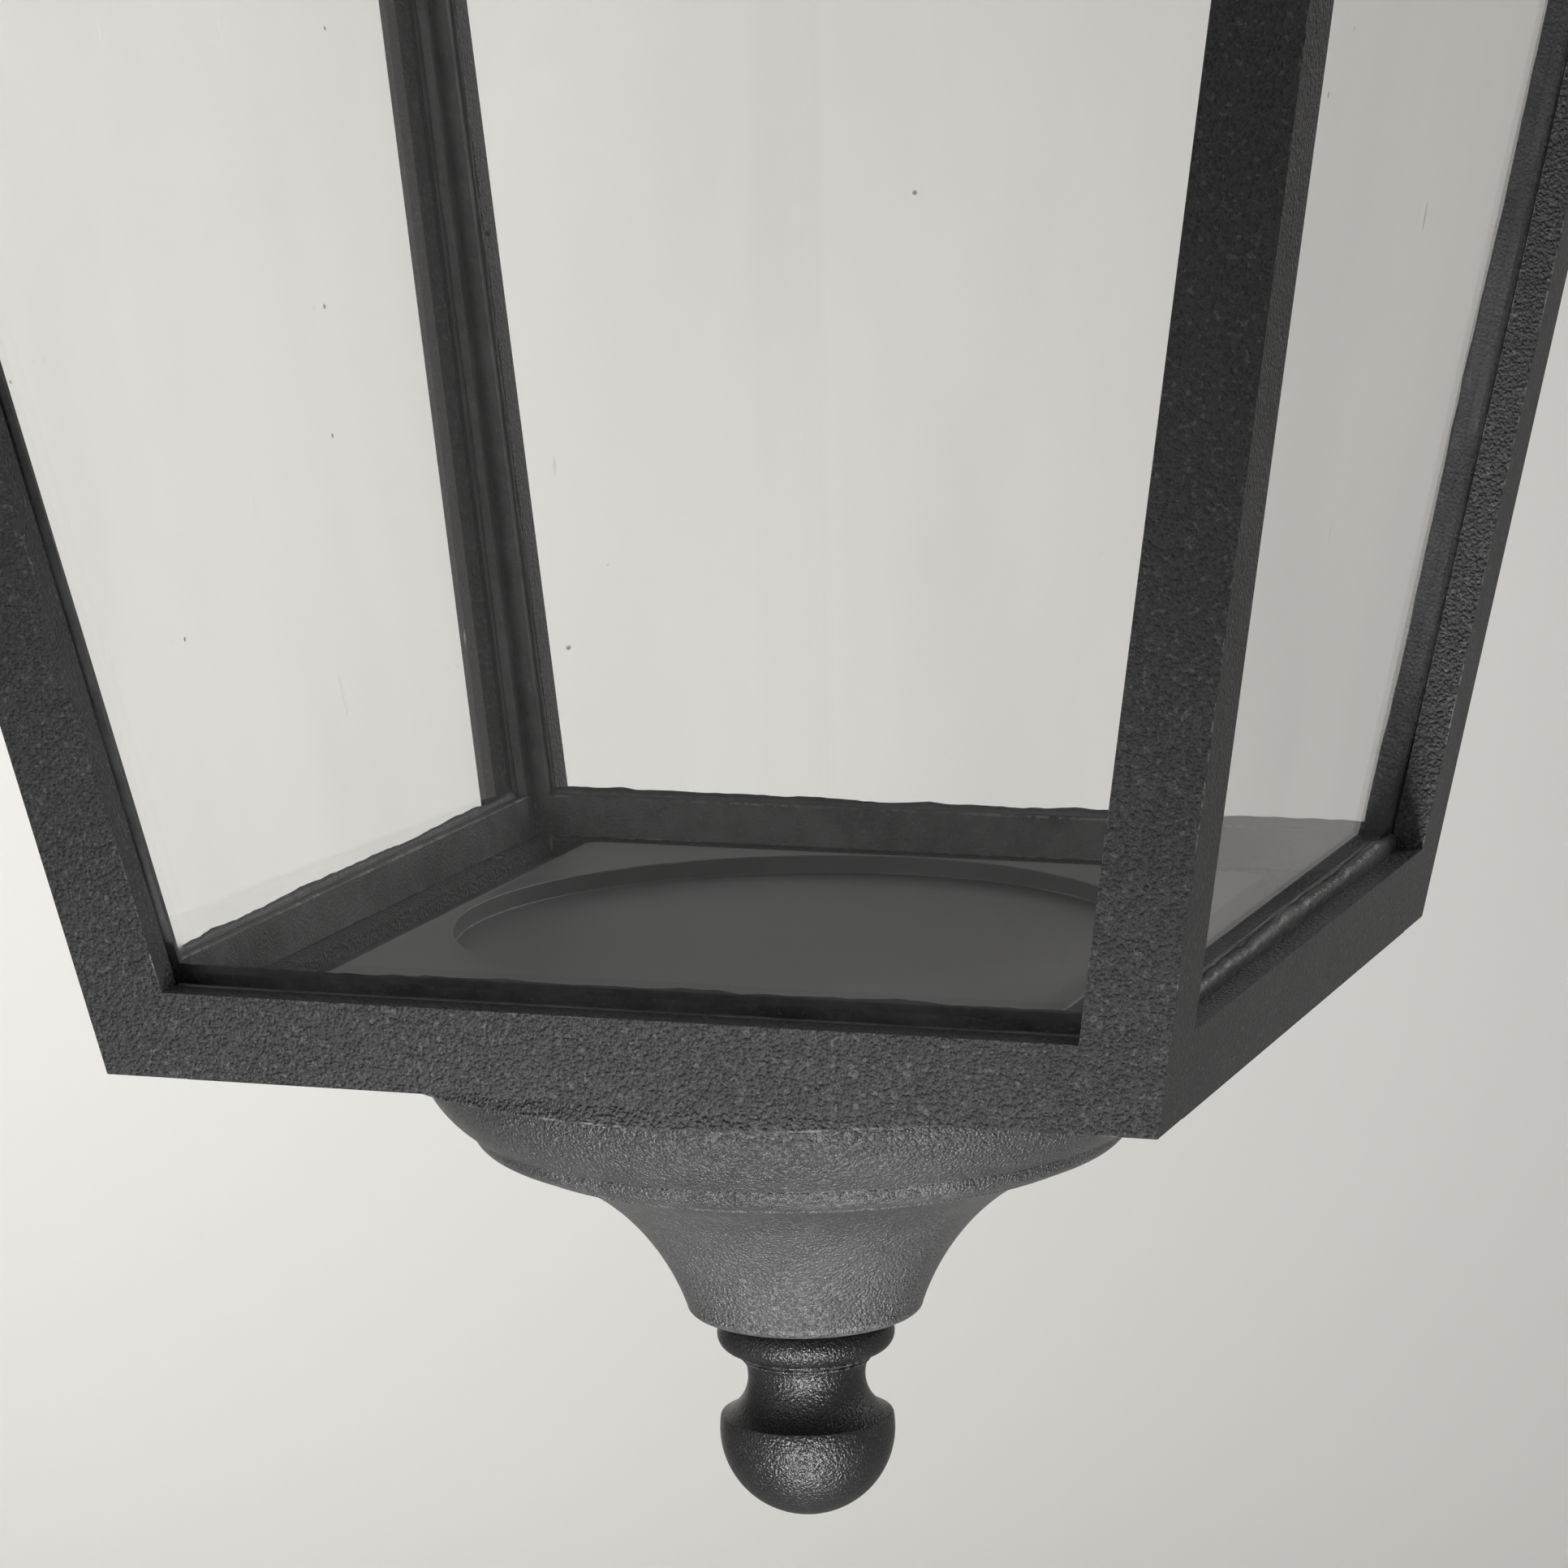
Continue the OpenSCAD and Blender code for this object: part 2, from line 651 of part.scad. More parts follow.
module terminal_block() {
    block = [26, 16, 12];
    way = 8;
    color("#e9e7df") hung() translate([11.5, -block[1] / 2, crown_z - block[2]]) difference() {
        cube(block);
        for (n = [0:2]) {
            translate([5 + n * way, -1, 4.5]) rotate([-90, 0, 0]) cylinder(r = 2, h = block[1] + 2, $fn = 24);
            for (y = [4, 12]) translate([5 + n * way, y, -1]) cylinder(r = 1.8, h = 4, $fn = 24);
        }
    }
}

// ---------------------------------------------------------------- lampholder and lamp

module lampholder_cap() {
    high = crown_z - holder_drop;
    color("#202122") hung() rotate_extrude() polygon(concat(
        [[tube_r, high], [8.5, high], [8.5, high - 3]],
        ovolo(holder_r - 0.5, 8.5, holder_z + 3, high - 3.2, 90, 0, 8),
        [[holder_r - 0.5, holder_z], [holder_r - 3, holder_z], [holder_r - 3, holder_z + 3],
         [tube_r, high - 7]]
    ));
}

module lampholder_body() {
    socket_r = lamp_cap_r + lamp_gap;
    color("#202122") hung() difference() {
        union() {
            translate([0, 0, holder_low]) cylinder(r = holder_r, h = holder_h);
            translate([0, 0, holder_low + 6]) cylinder(r = holder_r + 1.5, h = 8);
        }
        translate([0, 0, holder_low - 1]) cylinder(r = socket_r, h = thread_h);
    }
}

module lamp_cap() {
    color("#b9babb") hung() translate([0, 0, holder_low - 1]) {
        cylinder(r = lamp_cap_r, h = thread_h - 3);
        translate([0, 0, thread_h - 3]) cylinder(r1 = lamp_cap_r, r2 = 5, h = 3);
    }
}

// Half outline of the lamp's glass, set in by a distance, with its neck drawn on by a length
module lamp_outline(inset, neck) {
    ball_z = holder_low - lamp_l + lamp_r;
    neck_z = holder_low - 1;
    shoulder = [lamp_r * cos(20) - 0.3, ball_z + lamp_r * sin(20)];
    translate([0, ball_z]) circle(r = lamp_r - inset);
    polygon(concat(
        [[0, ball_z], [shoulder[0] - inset, ball_z]],
        arc(shoulder - [inset, 0], [lamp_cap_r - inset, neck_z], 60, 10),
        [[lamp_cap_r - inset, neck_z + neck], [0, neck_z + neck]]
    ));
}

module lamp_glass() {
    color("#f2efe6", 0.6) hung() rotate_extrude() difference() {
        lamp_outline(0, 0);
        lamp_outline(lamp_t, 1);
        translate([-100, 0]) square([100, 500]);
    }
}

// ---------------------------------------------------------------- chain and ceiling fitting

module chain_link_1() {
    color("#2e2f31") rotate([0, 0, 90]) link(hang_2);
}

module chain_link_2() {
    color("#2e2f31") link(hang_3);
}

module chain_link_3() {
    color("#2e2f31") rotate([0, 0, 90]) link(hang_4);
}

module ceiling_eye() {
    color("#2e2f31") {
        eye(eye_z);
        translate([0, 0, eye_collar_z - 1.5]) cylinder(r = 6.8, h = 3.5);
        translate([0, 0, eye_collar_z]) cylinder(r = tube_r, h = -eye_collar_z - 0.5);
    }
}

module canopy_nut() {
    flutes = 20;
    r = 11;
    color("#2e2f31") difference() {
        translate([0, 0, -canopy_h - 6]) cylinder(r = r, h = 6);
        translate([0, 0, -canopy_h - 7]) cylinder(r = tube_r, h = 8);
        for (i = [0:flutes - 1]) rotate([0, 0, i * 360 / flutes])
            translate([r + 0.4, 0, -canopy_h - 7]) cylinder(r = 0.9, h = 8, $fn = 16);
    }
}

module ceiling_canopy() {
    cup = canopy_r - 24;
    color("#3b3c3e") difference() {
        rotate_extrude() polygon(concat(
            [[canopy_r, 0], [canopy_r - canopy_t, 0], [canopy_r - canopy_t, -3.4]],
            ovolo(canopy_r - canopy_t - 2, 12, -3.4, -canopy_h + canopy_t, 0, 90, 12),
            [[tube_r + stud_gap, -canopy_h + canopy_t], [tube_r + stud_gap, -canopy_h]],
            [for (p = ovolo(canopy_r - 2, 12, -5, -canopy_h, 90, 0, 12)) p],
            [[canopy_r, -5]]
        ));
        translate([cup, 0, -canopy_h]) cylinder(r = 4.5, h = canopy_h - bracket_t - 3, $fn = 32);
    }
}

module canopy_bush() {
    cup = canopy_r - 24;
    level = -canopy_h + 4.6;
    color("#1d1d1e") translate([cup, 0, 0]) tube(4.5, 3, level - 4, level + 4, $fn = 32);
}

module ceiling_bracket() {
    color("#a8a9aa") difference() {
        translate([-bracket_l / 2, -bracket_w / 2, -bracket_t]) cube([bracket_l, bracket_w, bracket_t]);
        translate([0, 0, -bracket_t - 1]) cylinder(r = tube_r, h = bracket_t + 2);
        for (side = [-1, 1]) translate([side * bracket_pitch / 2, 0, -bracket_t - 1])
            cylinder(r = bracket_hole_r, h = bracket_t + 2);
    }
}

// ---------------------------------------------------------------- nodes

leg(0);  // leg_front_right
leg(1);  // leg_back_right
leg(2);  // leg_back_left
leg(3);  // leg_front_left
lower_rail(0);  // lower_rail_front
lower_rail(1);  // lower_rail_right
lower_rail(2);  // lower_rail_back
lower_rail(3);  // lower_rail_left
top_rail(0);  // top_rail_front
top_rail(1);  // top_rail_right
top_rail(2);  // top_rail_back
top_rail(3);  // top_rail_left
pane(0);  // pane_front
pane(1);  // pane_right
pane(2);  // pane_back
pane(3);  // pane_left
bead(0);  // bead_front
bead(1);  // bead_right
bead(2);  // bead_back
bead(3);  // bead_left
corner_angle(0);  // corner_angle_front_right
corner_angle(1);  // corner_angle_back_right
corner_angle(2);  // corner_angle_back_left
corner_angle(3);  // corner_angle_front_left
angle_screws();
base_tray();
tray_screws();
floor_plate();
floor_screws();
base_casting();
tie_stud();
stud_washer();
stud_nut();
ball_finial();
roof_panel(0);  // roof_panel_front
roof_panel(1);  // roof_panel_right
roof_panel(2);  // roof_panel_back
roof_panel(3);  // roof_panel_left
crown_plate();
vent_collar();
chimney_cap();
hanging_eye();
cable_bush();
threaded_tube();
tube_nut();
terminal_block();
lampholder_cap();
lampholder_body();
lamp_cap();
lamp_glass();
chain_link_1();
chain_link_2();
chain_link_3();
ceiling_eye();
canopy_nut();
ceiling_canopy();
canopy_bush();
ceiling_bracket();
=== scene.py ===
"""Looks of a tapered glazed hanging lantern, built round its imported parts.

All lengths are in metres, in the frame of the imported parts: the origin is on the ceiling,
+Z is up and the front pane faces -Y.
"""

import logging
import math
from collections.abc import Callable, Sequence
from dataclasses import dataclass, field
from enum import Enum

import bmesh
import bpy
from mathutils import Matrix, Vector, noise


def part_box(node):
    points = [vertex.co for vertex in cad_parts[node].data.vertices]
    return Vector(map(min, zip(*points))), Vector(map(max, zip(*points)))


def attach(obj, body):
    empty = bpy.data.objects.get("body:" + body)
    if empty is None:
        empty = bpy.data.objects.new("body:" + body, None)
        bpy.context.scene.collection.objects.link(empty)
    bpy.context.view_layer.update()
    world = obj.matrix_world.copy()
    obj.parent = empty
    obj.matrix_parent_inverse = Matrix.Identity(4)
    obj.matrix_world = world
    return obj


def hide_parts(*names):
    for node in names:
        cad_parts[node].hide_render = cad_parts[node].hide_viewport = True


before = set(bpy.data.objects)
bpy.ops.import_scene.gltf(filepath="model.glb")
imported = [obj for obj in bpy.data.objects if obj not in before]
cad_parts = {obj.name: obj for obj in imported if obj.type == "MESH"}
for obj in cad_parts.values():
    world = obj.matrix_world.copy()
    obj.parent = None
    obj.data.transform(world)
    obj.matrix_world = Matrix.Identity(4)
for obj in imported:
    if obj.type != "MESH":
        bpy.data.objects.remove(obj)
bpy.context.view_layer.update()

LOG = logging.getLogger("lantern")
MM = 0.001
Point = tuple[float, float]
Colour = tuple[float, float, float]


class Placed(Enum):
    """A place on the cage, whose name the parts spell in small letters."""

    @property
    def label(self) -> str:
        """The place's name as the parts spell it."""
        return self.name.lower()


class Side(Placed):
    """The four sides of the cage, in quarter turns from the front."""

    FRONT = 0
    RIGHT = 1
    BACK = 2
    LEFT = 3

    @property
    def turn(self) -> Matrix:
        """Matrix that turns a piece of the front onto this side."""
        return Matrix.Rotation(self.value * math.pi / 2, 4, "Z")


class Corner(Placed):
    """The four corners of the cage, in quarter turns from the front right one."""

    FRONT_RIGHT = 0
    BACK_RIGHT = 1
    BACK_LEFT = 2
    FRONT_LEFT = 3


class Body(Enum):
    """The moving bodies that new pieces ride on."""

    LINK_1 = "link_1"
    LINK_2 = "link_2"
    LINK_3 = "link_3"
    LANTERN = "lantern"


# ---------------------------------------------------------------------------- shader graphs


class Graph:
    """A small wrapper round a node tree, for writing shader graphs in few lines."""

    def __init__(self, tree: bpy.types.NodeTree) -> None:
        """Starts on a tree.

        Args:
            tree: the node tree to write into.
        """
        self.tree = tree

    def node(self, kind: str, **settings: object) -> bpy.types.Node:
        """Adds a node.

        Args:
            kind: Blender's name of the node type.
            settings: properties of the node.

        Returns:
            The new node.
        """
        made = self.tree.nodes.new(kind)
        for name, value in settings.items():
            setattr(made, name, value)
        return made

    def feed(self, socket: bpy.types.NodeSocket, value: object) -> None:
        """Links a socket to a value socket, or sets it to a plain value.

        Args:
            socket: the input to feed.
            value: an output socket, a number or a tuple.
        """
        if isinstance(value, bpy.types.NodeSocket):
            self.tree.links.new(value, socket)
        else:
            socket.default_value = value

    def math(self, operation: str, *values: object, clamp: bool = False) -> bpy.types.NodeSocket:
        """Adds a Math node.

        Args:
            operation: Blender's name of the operation.
            values: one value for each input.
            clamp: whether the result stays between 0 and 1.

        Returns:
            The result.
        """
        made = self.node("ShaderNodeMath", operation=operation, use_clamp=clamp)
        for socket, value in zip(made.inputs, values):
            self.feed(socket, value)
        return made.outputs[0]

    def ramp(
        self, value: object, low: float, high: float, to_low: float = 0.0, to_high: float = 1.0
    ) -> bpy.types.NodeSocket:
        """Maps a range of a value smoothly to another range.

        Args:
            value: the value to map.
            low: start of the range.
            high: end of the range.
            to_low: result at the start.
            to_high: result at the end.

        Returns:
            The mapped value.
        """
        made = self.node("ShaderNodeMapRange", interpolation_type="SMOOTHSTEP")
        self.feed(made.inputs["Value"], value)
        for name, number in (("From Min", low), ("From Max", high), ("To Min", to_low), ("To Max", to_high)):
            made.inputs[name].default_value = number
        return made.outputs["Result"]

    def mix(self, factor: object, a: object, b: object, blend: str = "MIX") -> bpy.types.NodeSocket:
        """Mixes two colours.

        Args:
            factor: share of the second colour.
            a: the first colour.
            b: the second colour.
            blend: Blender's name of the way to mix.

        Returns:
            The mixed colour.
        """
        made = self.node("ShaderNodeMix", data_type="RGBA", blend_type=blend)
        self.feed(made.inputs[0], factor)
        self.feed(made.inputs[6], a)
        self.feed(made.inputs[7], b)
        return made.outputs[2]

    def noise(
        self, vector: object, scale: object, detail: float = 3.0, roughness: float = 0.5
    ) -> bpy.types.NodeSocket:
        """Adds a noise texture.

        Args:
            vector: where to read it.
            scale: features in a metre.
            detail: number of finer layers.
            roughness: weight of the finer layers.

        Returns:
            The noise, about 0 to 1.
        """
        made = self.node("ShaderNodeTexNoise")
        self.feed(made.inputs["Vector"], vector)
        self.feed(made.inputs["Scale"], scale)
        made.inputs["Detail"].default_value = detail
        made.inputs["Roughness"].default_value = roughness
        return made.outputs["Fac"]

    def cells(self, vector: object, scale: object, feature: str = "F1") -> bpy.types.Node:
        """Adds a cell texture.

        Args:
            vector: where to read it.
            scale: cells in a metre.
            feature: Blender's name of what is measured.

        Returns:
            The node, with its outputs Distance and Color.
        """
        made = self.node("ShaderNodeTexVoronoi", feature=feature)
        self.feed(made.inputs["Vector"], vector)
        self.feed(made.inputs["Scale"], scale)
        return made

    def place(self) -> bpy.types.NodeSocket:
        """The point on the piece, in the piece's own coordinates."""
        return self.node("ShaderNodeTexCoord").outputs["Object"]

    def group(self, tree: bpy.types.NodeTree, **values: object) -> bpy.types.Node:
        """Places a node group.

        Args:
            tree: the group's node tree.
            values: its inputs, by name with spaces as underlines.

        Returns:
            The group's node.
        """
        made = self.node("ShaderNodeGroup", node_tree=tree)
        for name, value in values.items():
            self.feed(made.inputs[name.replace("_", " ")], value)
        return made


def new_group(
    name: str,
    inputs: dict[str, float],
    outputs: dict[str, str],
    write: Callable[[Graph, bpy.types.Node], dict[str, bpy.types.NodeSocket]],
) -> bpy.types.NodeTree:
    """Builds a shader node group with named sockets, once.

    Args:
        name: the group's name.
        inputs: number inputs with their starting values.
        outputs: outputs with their socket types.
        write: draws the inside and returns the socket for each output.

    Returns:
        The group's node tree.
    """
    if name in bpy.data.node_groups:
        return bpy.data.node_groups[name]
    tree = bpy.data.node_groups.new(name, "ShaderNodeTree")
    for label, value in inputs.items():
        socket = tree.interface.new_socket(label, in_out="INPUT", socket_type="NodeSocketFloat")
        socket.default_value = value
    for label, kind in outputs.items():
        tree.interface.new_socket(label, in_out="OUTPUT", socket_type=kind)
    graph = Graph(tree)
    results = write(graph, graph.node("NodeGroupInput"))
    end = graph.node("NodeGroupOutput")
    for label, socket in results.items():
        tree.links.new(socket, end.inputs[label])
    return tree


def sand_grain() -> bpy.types.NodeTree:
    """Rough grains of a sand-textured coat: their height, and a mask of painted highlights, specks painted
    lighter where the tips of grains would catch the light.

    Returns:
        The group's node tree.
    """

    def write(g: Graph, given: bpy.types.Node) -> dict[str, bpy.types.NodeSocket]:
        """Draws the inside of the group.

        Args:
            g: the group's graph.
            given: the node with the group's inputs.

        Returns:
            The socket for each output.
        """
        place = g.place()
        scale = given.outputs["Grains"]
        coarse = g.noise(place, scale, detail=2.0, roughness=0.55)
        fine = g.noise(place, g.math("MULTIPLY", scale, 2.1), detail=2.0, roughness=0.6)
        cell = g.cells(place, g.math("MULTIPLY", scale, 1.25)).outputs["Distance"]
        dome = g.ramp(cell, 0.75, 0.0)
        height = g.math("ADD", g.math("MULTIPLY", coarse, 0.55), g.math("MULTIPLY", dome, 0.3))
        height = g.math("ADD", height, g.math("MULTIPLY", fine, 0.35))
        # Painted highlight: random specks that the coat paints lighter, standing in for light caught on grain
        # tips.
        tips = g.ramp(g.noise(place, g.math("MULTIPLY", scale, 0.9), detail=1.0), 0.6, 0.72)
        return {"Height": height, "Tips": tips}

    outputs = {"Height": "NodeSocketFloat", "Tips": "NodeSocketFloat"}
    return new_group("sand_grain", {"Grains": 900.0}, outputs, write)


def worn_edge() -> bpy.types.NodeTree:
    """Broken wear along the edges that a mesh marks in its attribute named edge.

    Returns:
        The group's node tree.
    """

    def write(g: Graph, given: bpy.types.Node) -> dict[str, bpy.types.NodeSocket]:
        """Draws the inside of the group.

        Args:
            g: the group's graph.
            given: the node with the group's inputs.

        Returns:
            The socket for each output.
        """
        edge = g.node("ShaderNodeAttribute", attribute_name="edge").outputs["Fac"]
        place = g.place()
        patches = g.ramp(g.noise(place, 55.0, detail=3.0), 0.38, 0.62)
        chips = g.ramp(g.noise(place, 700.0, detail=2.0), 0.4, 0.6)
        broken = g.math("MULTIPLY", edge, g.math("MULTIPLY", patches, chips))
        return {"Mask": g.math("MULTIPLY", broken, given.outputs["Amount"], clamp=True)}

    return new_group("worn_edge", {"Amount": 0.6}, {"Mask": "NodeSocketFloat"}, write)


def settled_dust() -> bpy.types.NodeTree:
    """Dust on what faces up, in soft patches with single specks.

    Returns:
        The group's node tree.
    """

    def write(g: Graph, given: bpy.types.Node) -> dict[str, bpy.types.NodeSocket]:
        """Draws the inside of the group.

        Args:
            g: the group's graph.
            given: the node with the group's inputs.

        Returns:
            The socket for each output.
        """
        place = g.place()
        normal = g.node("ShaderNodeNewGeometry").outputs["Normal"]
        upward = g.node("ShaderNodeSeparateXYZ")
        g.feed(upward.inputs[0], normal)
        facing = g.ramp(upward.outputs["Z"], 0.35, 0.95)
        patches = g.ramp(g.noise(place, 26.0, detail=4.0), 0.35, 0.75)
        speck = g.cells(place, 120.0)
        single = g.ramp(speck.outputs["Distance"], 0.1, 0.04)
        mask = g.math("ADD", g.math("MULTIPLY", patches, 0.45), g.math("MULTIPLY", single, 0.55))
        mask = g.math("MULTIPLY", g.math("MULTIPLY", mask, facing), given.outputs["Amount"], clamp=True)
        return {"Mask": mask}

    return new_group("settled_dust", {"Amount": 0.3}, {"Mask": "NodeSocketFloat"}, write)


def cloudy_tone() -> bpy.types.NodeTree:
    """Slow variation of tone and gloss over a surface.

    Returns:
        The group's node tree.
    """

    def write(g: Graph, given: bpy.types.Node) -> dict[str, bpy.types.NodeSocket]:
        """Draws the inside of the group.

        Args:
            g: the group's graph.
            given: the node with the group's inputs.

        Returns:
            The socket for each output.
        """
        place = g.place()
        slow = g.noise(place, given.outputs["Patches"], detail=4.0, roughness=0.6)
        streaks = g.noise(place, g.math("MULTIPLY", given.outputs["Patches"], 7.0), detail=3.0)
        tone = g.math("ADD", g.math("MULTIPLY", slow, 0.7), g.math("MULTIPLY", streaks, 0.3))
        return {"Tone": g.ramp(tone, 0.3, 0.7)}

    return new_group("cloudy_tone", {"Patches": 16.0}, {"Tone": "NodeSocketFloat"}, write)


# ---------------------------------------------------------------------------- finishes


def new_material(name: str) -> tuple[bpy.types.Material, Graph, bpy.types.Node, bpy.types.Node]:
    """Makes a material with one Principled shader.

    Args:
        name: the material's name.

    Returns:
        The material, its graph, the shader and the output node.
    """
    material = bpy.data.materials.new(name)
    material.use_nodes = True
    graph = Graph(material.node_tree)
    shader = material.node_tree.nodes["Principled BSDF"]
    end = material.node_tree.nodes["Material Output"]
    return material, graph, shader, end


def opaque(colour: Colour) -> tuple[float, float, float, float]:
    """A colour with full alpha.

    Args:
        colour: red, green and blue.

    Returns:
        The colour and its alpha.
    """
    return (*colour, 1.0)


@dataclass(frozen=True)
class CoatFinish:
    """A powder or enamel coat, from smooth to sand-textured, with painted highlights on the tips of its
    grains.
    """

    name: str
    colour: Colour
    light_colour: Colour
    # lighter colour of real edge wear, also used for the painted highlights on grain tips
    worn_colour: Colour
    grains: float
    relief: float
    roughness: float
    # strength of the painted highlights on grain tips
    tips: float
    wear: float
    dust: float
    patches: float = 16.0
    sheen: float = 0.5

    def material(self) -> bpy.types.Material:
        """Builds the material.

        Returns:
            The material.
        """
        material, g, shader, _ = new_material(self.name)
        shader.inputs["Specular IOR Level"].default_value = self.sheen
        tone = g.group(cloudy_tone(), Patches=self.patches).outputs["Tone"]
        sand = g.group(sand_grain(), Grains=self.grains)
        wear = g.group(worn_edge(), Amount=self.wear).outputs["Mask"]
        dust = g.group(settled_dust(), Amount=self.dust).outputs["Mask"]
        base = g.mix(tone, opaque(self.colour), opaque(self.light_colour))
        # Painted highlight: grain-tip specks take the lighter colour as if lit; the same colour also marks
        # real wear on edges below.
        glint_mask = g.math("MULTIPLY", sand.outputs["Tips"], self.tips)
        base = g.mix(glint_mask, base, opaque(self.worn_colour))
        base = g.mix(wear, base, opaque(self.worn_colour))
        base = g.mix(dust, base, (0.33, 0.325, 0.31, 1.0))
        g.feed(shader.inputs["Base Color"], base)
        rough = g.math("ADD", self.roughness, g.math("MULTIPLY", tone, 0.08))
        rough = g.math("ADD", rough, g.math("MULTIPLY", dust, 0.25), clamp=True)
        g.feed(shader.inputs["Roughness"], rough)
        bump = g.node("ShaderNodeBump")
        bump.inputs["Strength"].default_value = 1.0
        bump.inputs["Distance"].default_value = self.relief
        g.feed(bump.inputs["Height"], sand.outputs["Height"])
        g.feed(shader.inputs["Normal"], bump.outputs["Normal"])
        return material


@dataclass(frozen=True)
class MetalFinish:
    """Bare metal with turning or rolling marks."""

    name: str
    colour: Colour
    dull_colour: Colour
    roughness: float
    marks: float = 900.0

    def material(self) -> bpy.types.Material:
        """Builds the material.

        Returns:
            The material.
        """
        material, g, shader, _ = new_material(self.name)
        tone = g.group(cloudy_tone(), Patches=60.0).outputs["Tone"]
        place = g.node("ShaderNodeMapping")
        g.feed(place.inputs["Vector"], g.place())
        place.inputs["Scale"].default_value = (0.15, 0.15, 1.0)
        marks = g.noise(place.outputs["Vector"], self.marks, detail=2.0)
        g.feed(shader.inputs["Base Color"], g.mix(tone, opaque(self.colour), opaque(self.dull_colour)))
        shader.inputs["Metallic"].default_value = 1.0
        g.feed(shader.inputs["Roughness"], g.math("ADD", self.roughness, g.math("MULTIPLY", marks, 0.2)))
        bump = g.node("ShaderNodeBump")
        bump.inputs["Distance"].default_value = 0.00004
        g.feed(bump.inputs["Height"], marks)
        g.feed(shader.inputs["Normal"], bump.outputs["Normal"])
        return material


@dataclass(frozen=True)
class MouldedFinish:
    """Moulded plastic, rubber or sealant."""

    name: str
    colour: Colour
    light_colour: Colour
    roughness: float
    grains: float = 1500.0
    relief: float = 0.00003

    def material(self) -> bpy.types.Material:
        """Builds the material.

        Returns:
            The material.
        """
        material, g, shader, _ = new_material(self.name)
        tone = g.group(cloudy_tone(), Patches=40.0).outputs["Tone"]
        sand = g.group(sand_grain(), Grains=self.grains)
        g.feed(shader.inputs["Base Color"], g.mix(tone, opaque(self.colour), opaque(self.light_colour)))
        g.feed(shader.inputs["Roughness"], g.math("ADD", self.roughness, g.math("MULTIPLY", tone, 0.1)))
        bump = g.node("ShaderNodeBump")
        bump.inputs["Distance"].default_value = self.relief
        g.feed(bump.inputs["Height"], sand.outputs["Height"])
        g.feed(shader.inputs["Normal"], bump.outputs["Normal"])
        return material


@dataclass(frozen=True)
class PaneFinish:
    """Clear glass with dust specks, fine scratches and wiped smears."""

    name: str
    tint: Colour = (1.0, 1.0, 0.997)
    film_colour: Colour = (0.955, 0.956, 0.955)
    speck_colour: Colour = (0.12, 0.12, 0.11)

    def material(self) -> bpy.types.Material:
        """Builds the material. Light passes the glass on its way to what is behind it.

        Returns:
            The material.
        """
        material, g, shader, end = new_material(self.name)
        place = g.place()
        cell = g.cells(place, 70.0)
        speck = g.ramp(cell.outputs["Distance"], 0.045, 0.025)
        chosen = g.ramp(g.noise(place, 40.0, detail=2.0), 0.6, 0.64)
        speck = g.math("MULTIPLY", speck, chosen)
        stretched = g.node("ShaderNodeMapping")
        g.feed(stretched.inputs["Vector"], place)
        stretched.inputs["Rotation"].default_value = (0.5, 0.35, 0.2)
        stretched.inputs["Scale"].default_value = (1.0, 1.0, 0.05)
        scratch = g.ramp(g.noise(stretched.outputs["Vector"], 240.0, detail=1.0), 0.77, 0.8)
        upright = g.node("ShaderNodeMapping")
        g.feed(upright.inputs["Vector"], place)
        upright.inputs["Scale"].default_value = (1.0, 1.0, 0.22)
        smear = g.ramp(g.noise(upright.outputs["Vector"], 22.0, detail=5.0, roughness=0.6), 0.35, 0.7)
        film = g.mix(smear, opaque(self.tint), opaque(self.film_colour))
        g.feed(shader.inputs["Base Color"], g.mix(speck, film, opaque(self.speck_colour)))
        g.feed(shader.inputs["Roughness"], g.math("MULTIPLY", scratch, 0.22, clamp=True))
        shader.inputs["Transmission Weight"].default_value = 1.0
        shader.inputs["IOR"].default_value = 1.45
        clear = g.node("ShaderNodeBsdfTransparent")
        clear.inputs["Color"].default_value = (0.95, 0.955, 0.95, 1.0)
        swap = g.node("ShaderNodeMixShader")
        g.feed(swap.inputs[0], g.node("ShaderNodeLightPath").outputs["Is Shadow Ray"])
        g.feed(swap.inputs[1], shader.outputs[0])
        g.feed(swap.inputs[2], clear.outputs[0])
        g.feed(end.inputs["Surface"], swap.outputs[0])
        return material


@dataclass(frozen=True)
class LampGlassFinish:
    """White coated glass of a lamp, a little translucent."""

    name: str

    def material(self) -> bpy.types.Material:
        """Builds the material.

        Returns:
            The material.
        """
        material, g, shader, _ = new_material(self.name)
        tone = g.group(cloudy_tone(), Patches=30.0).outputs["Tone"]
        g.feed(shader.inputs["Base Color"], g.mix(tone, (0.82, 0.81, 0.78, 1.0), (0.88, 0.87, 0.85, 1.0)))
        g.feed(shader.inputs["Roughness"], g.ramp(tone, 0.0, 1.0, 0.16, 0.22))
        shader.inputs["Subsurface Weight"].default_value = 0.4
        shader.inputs["Subsurface Scale"].default_value = 0.004
        return material


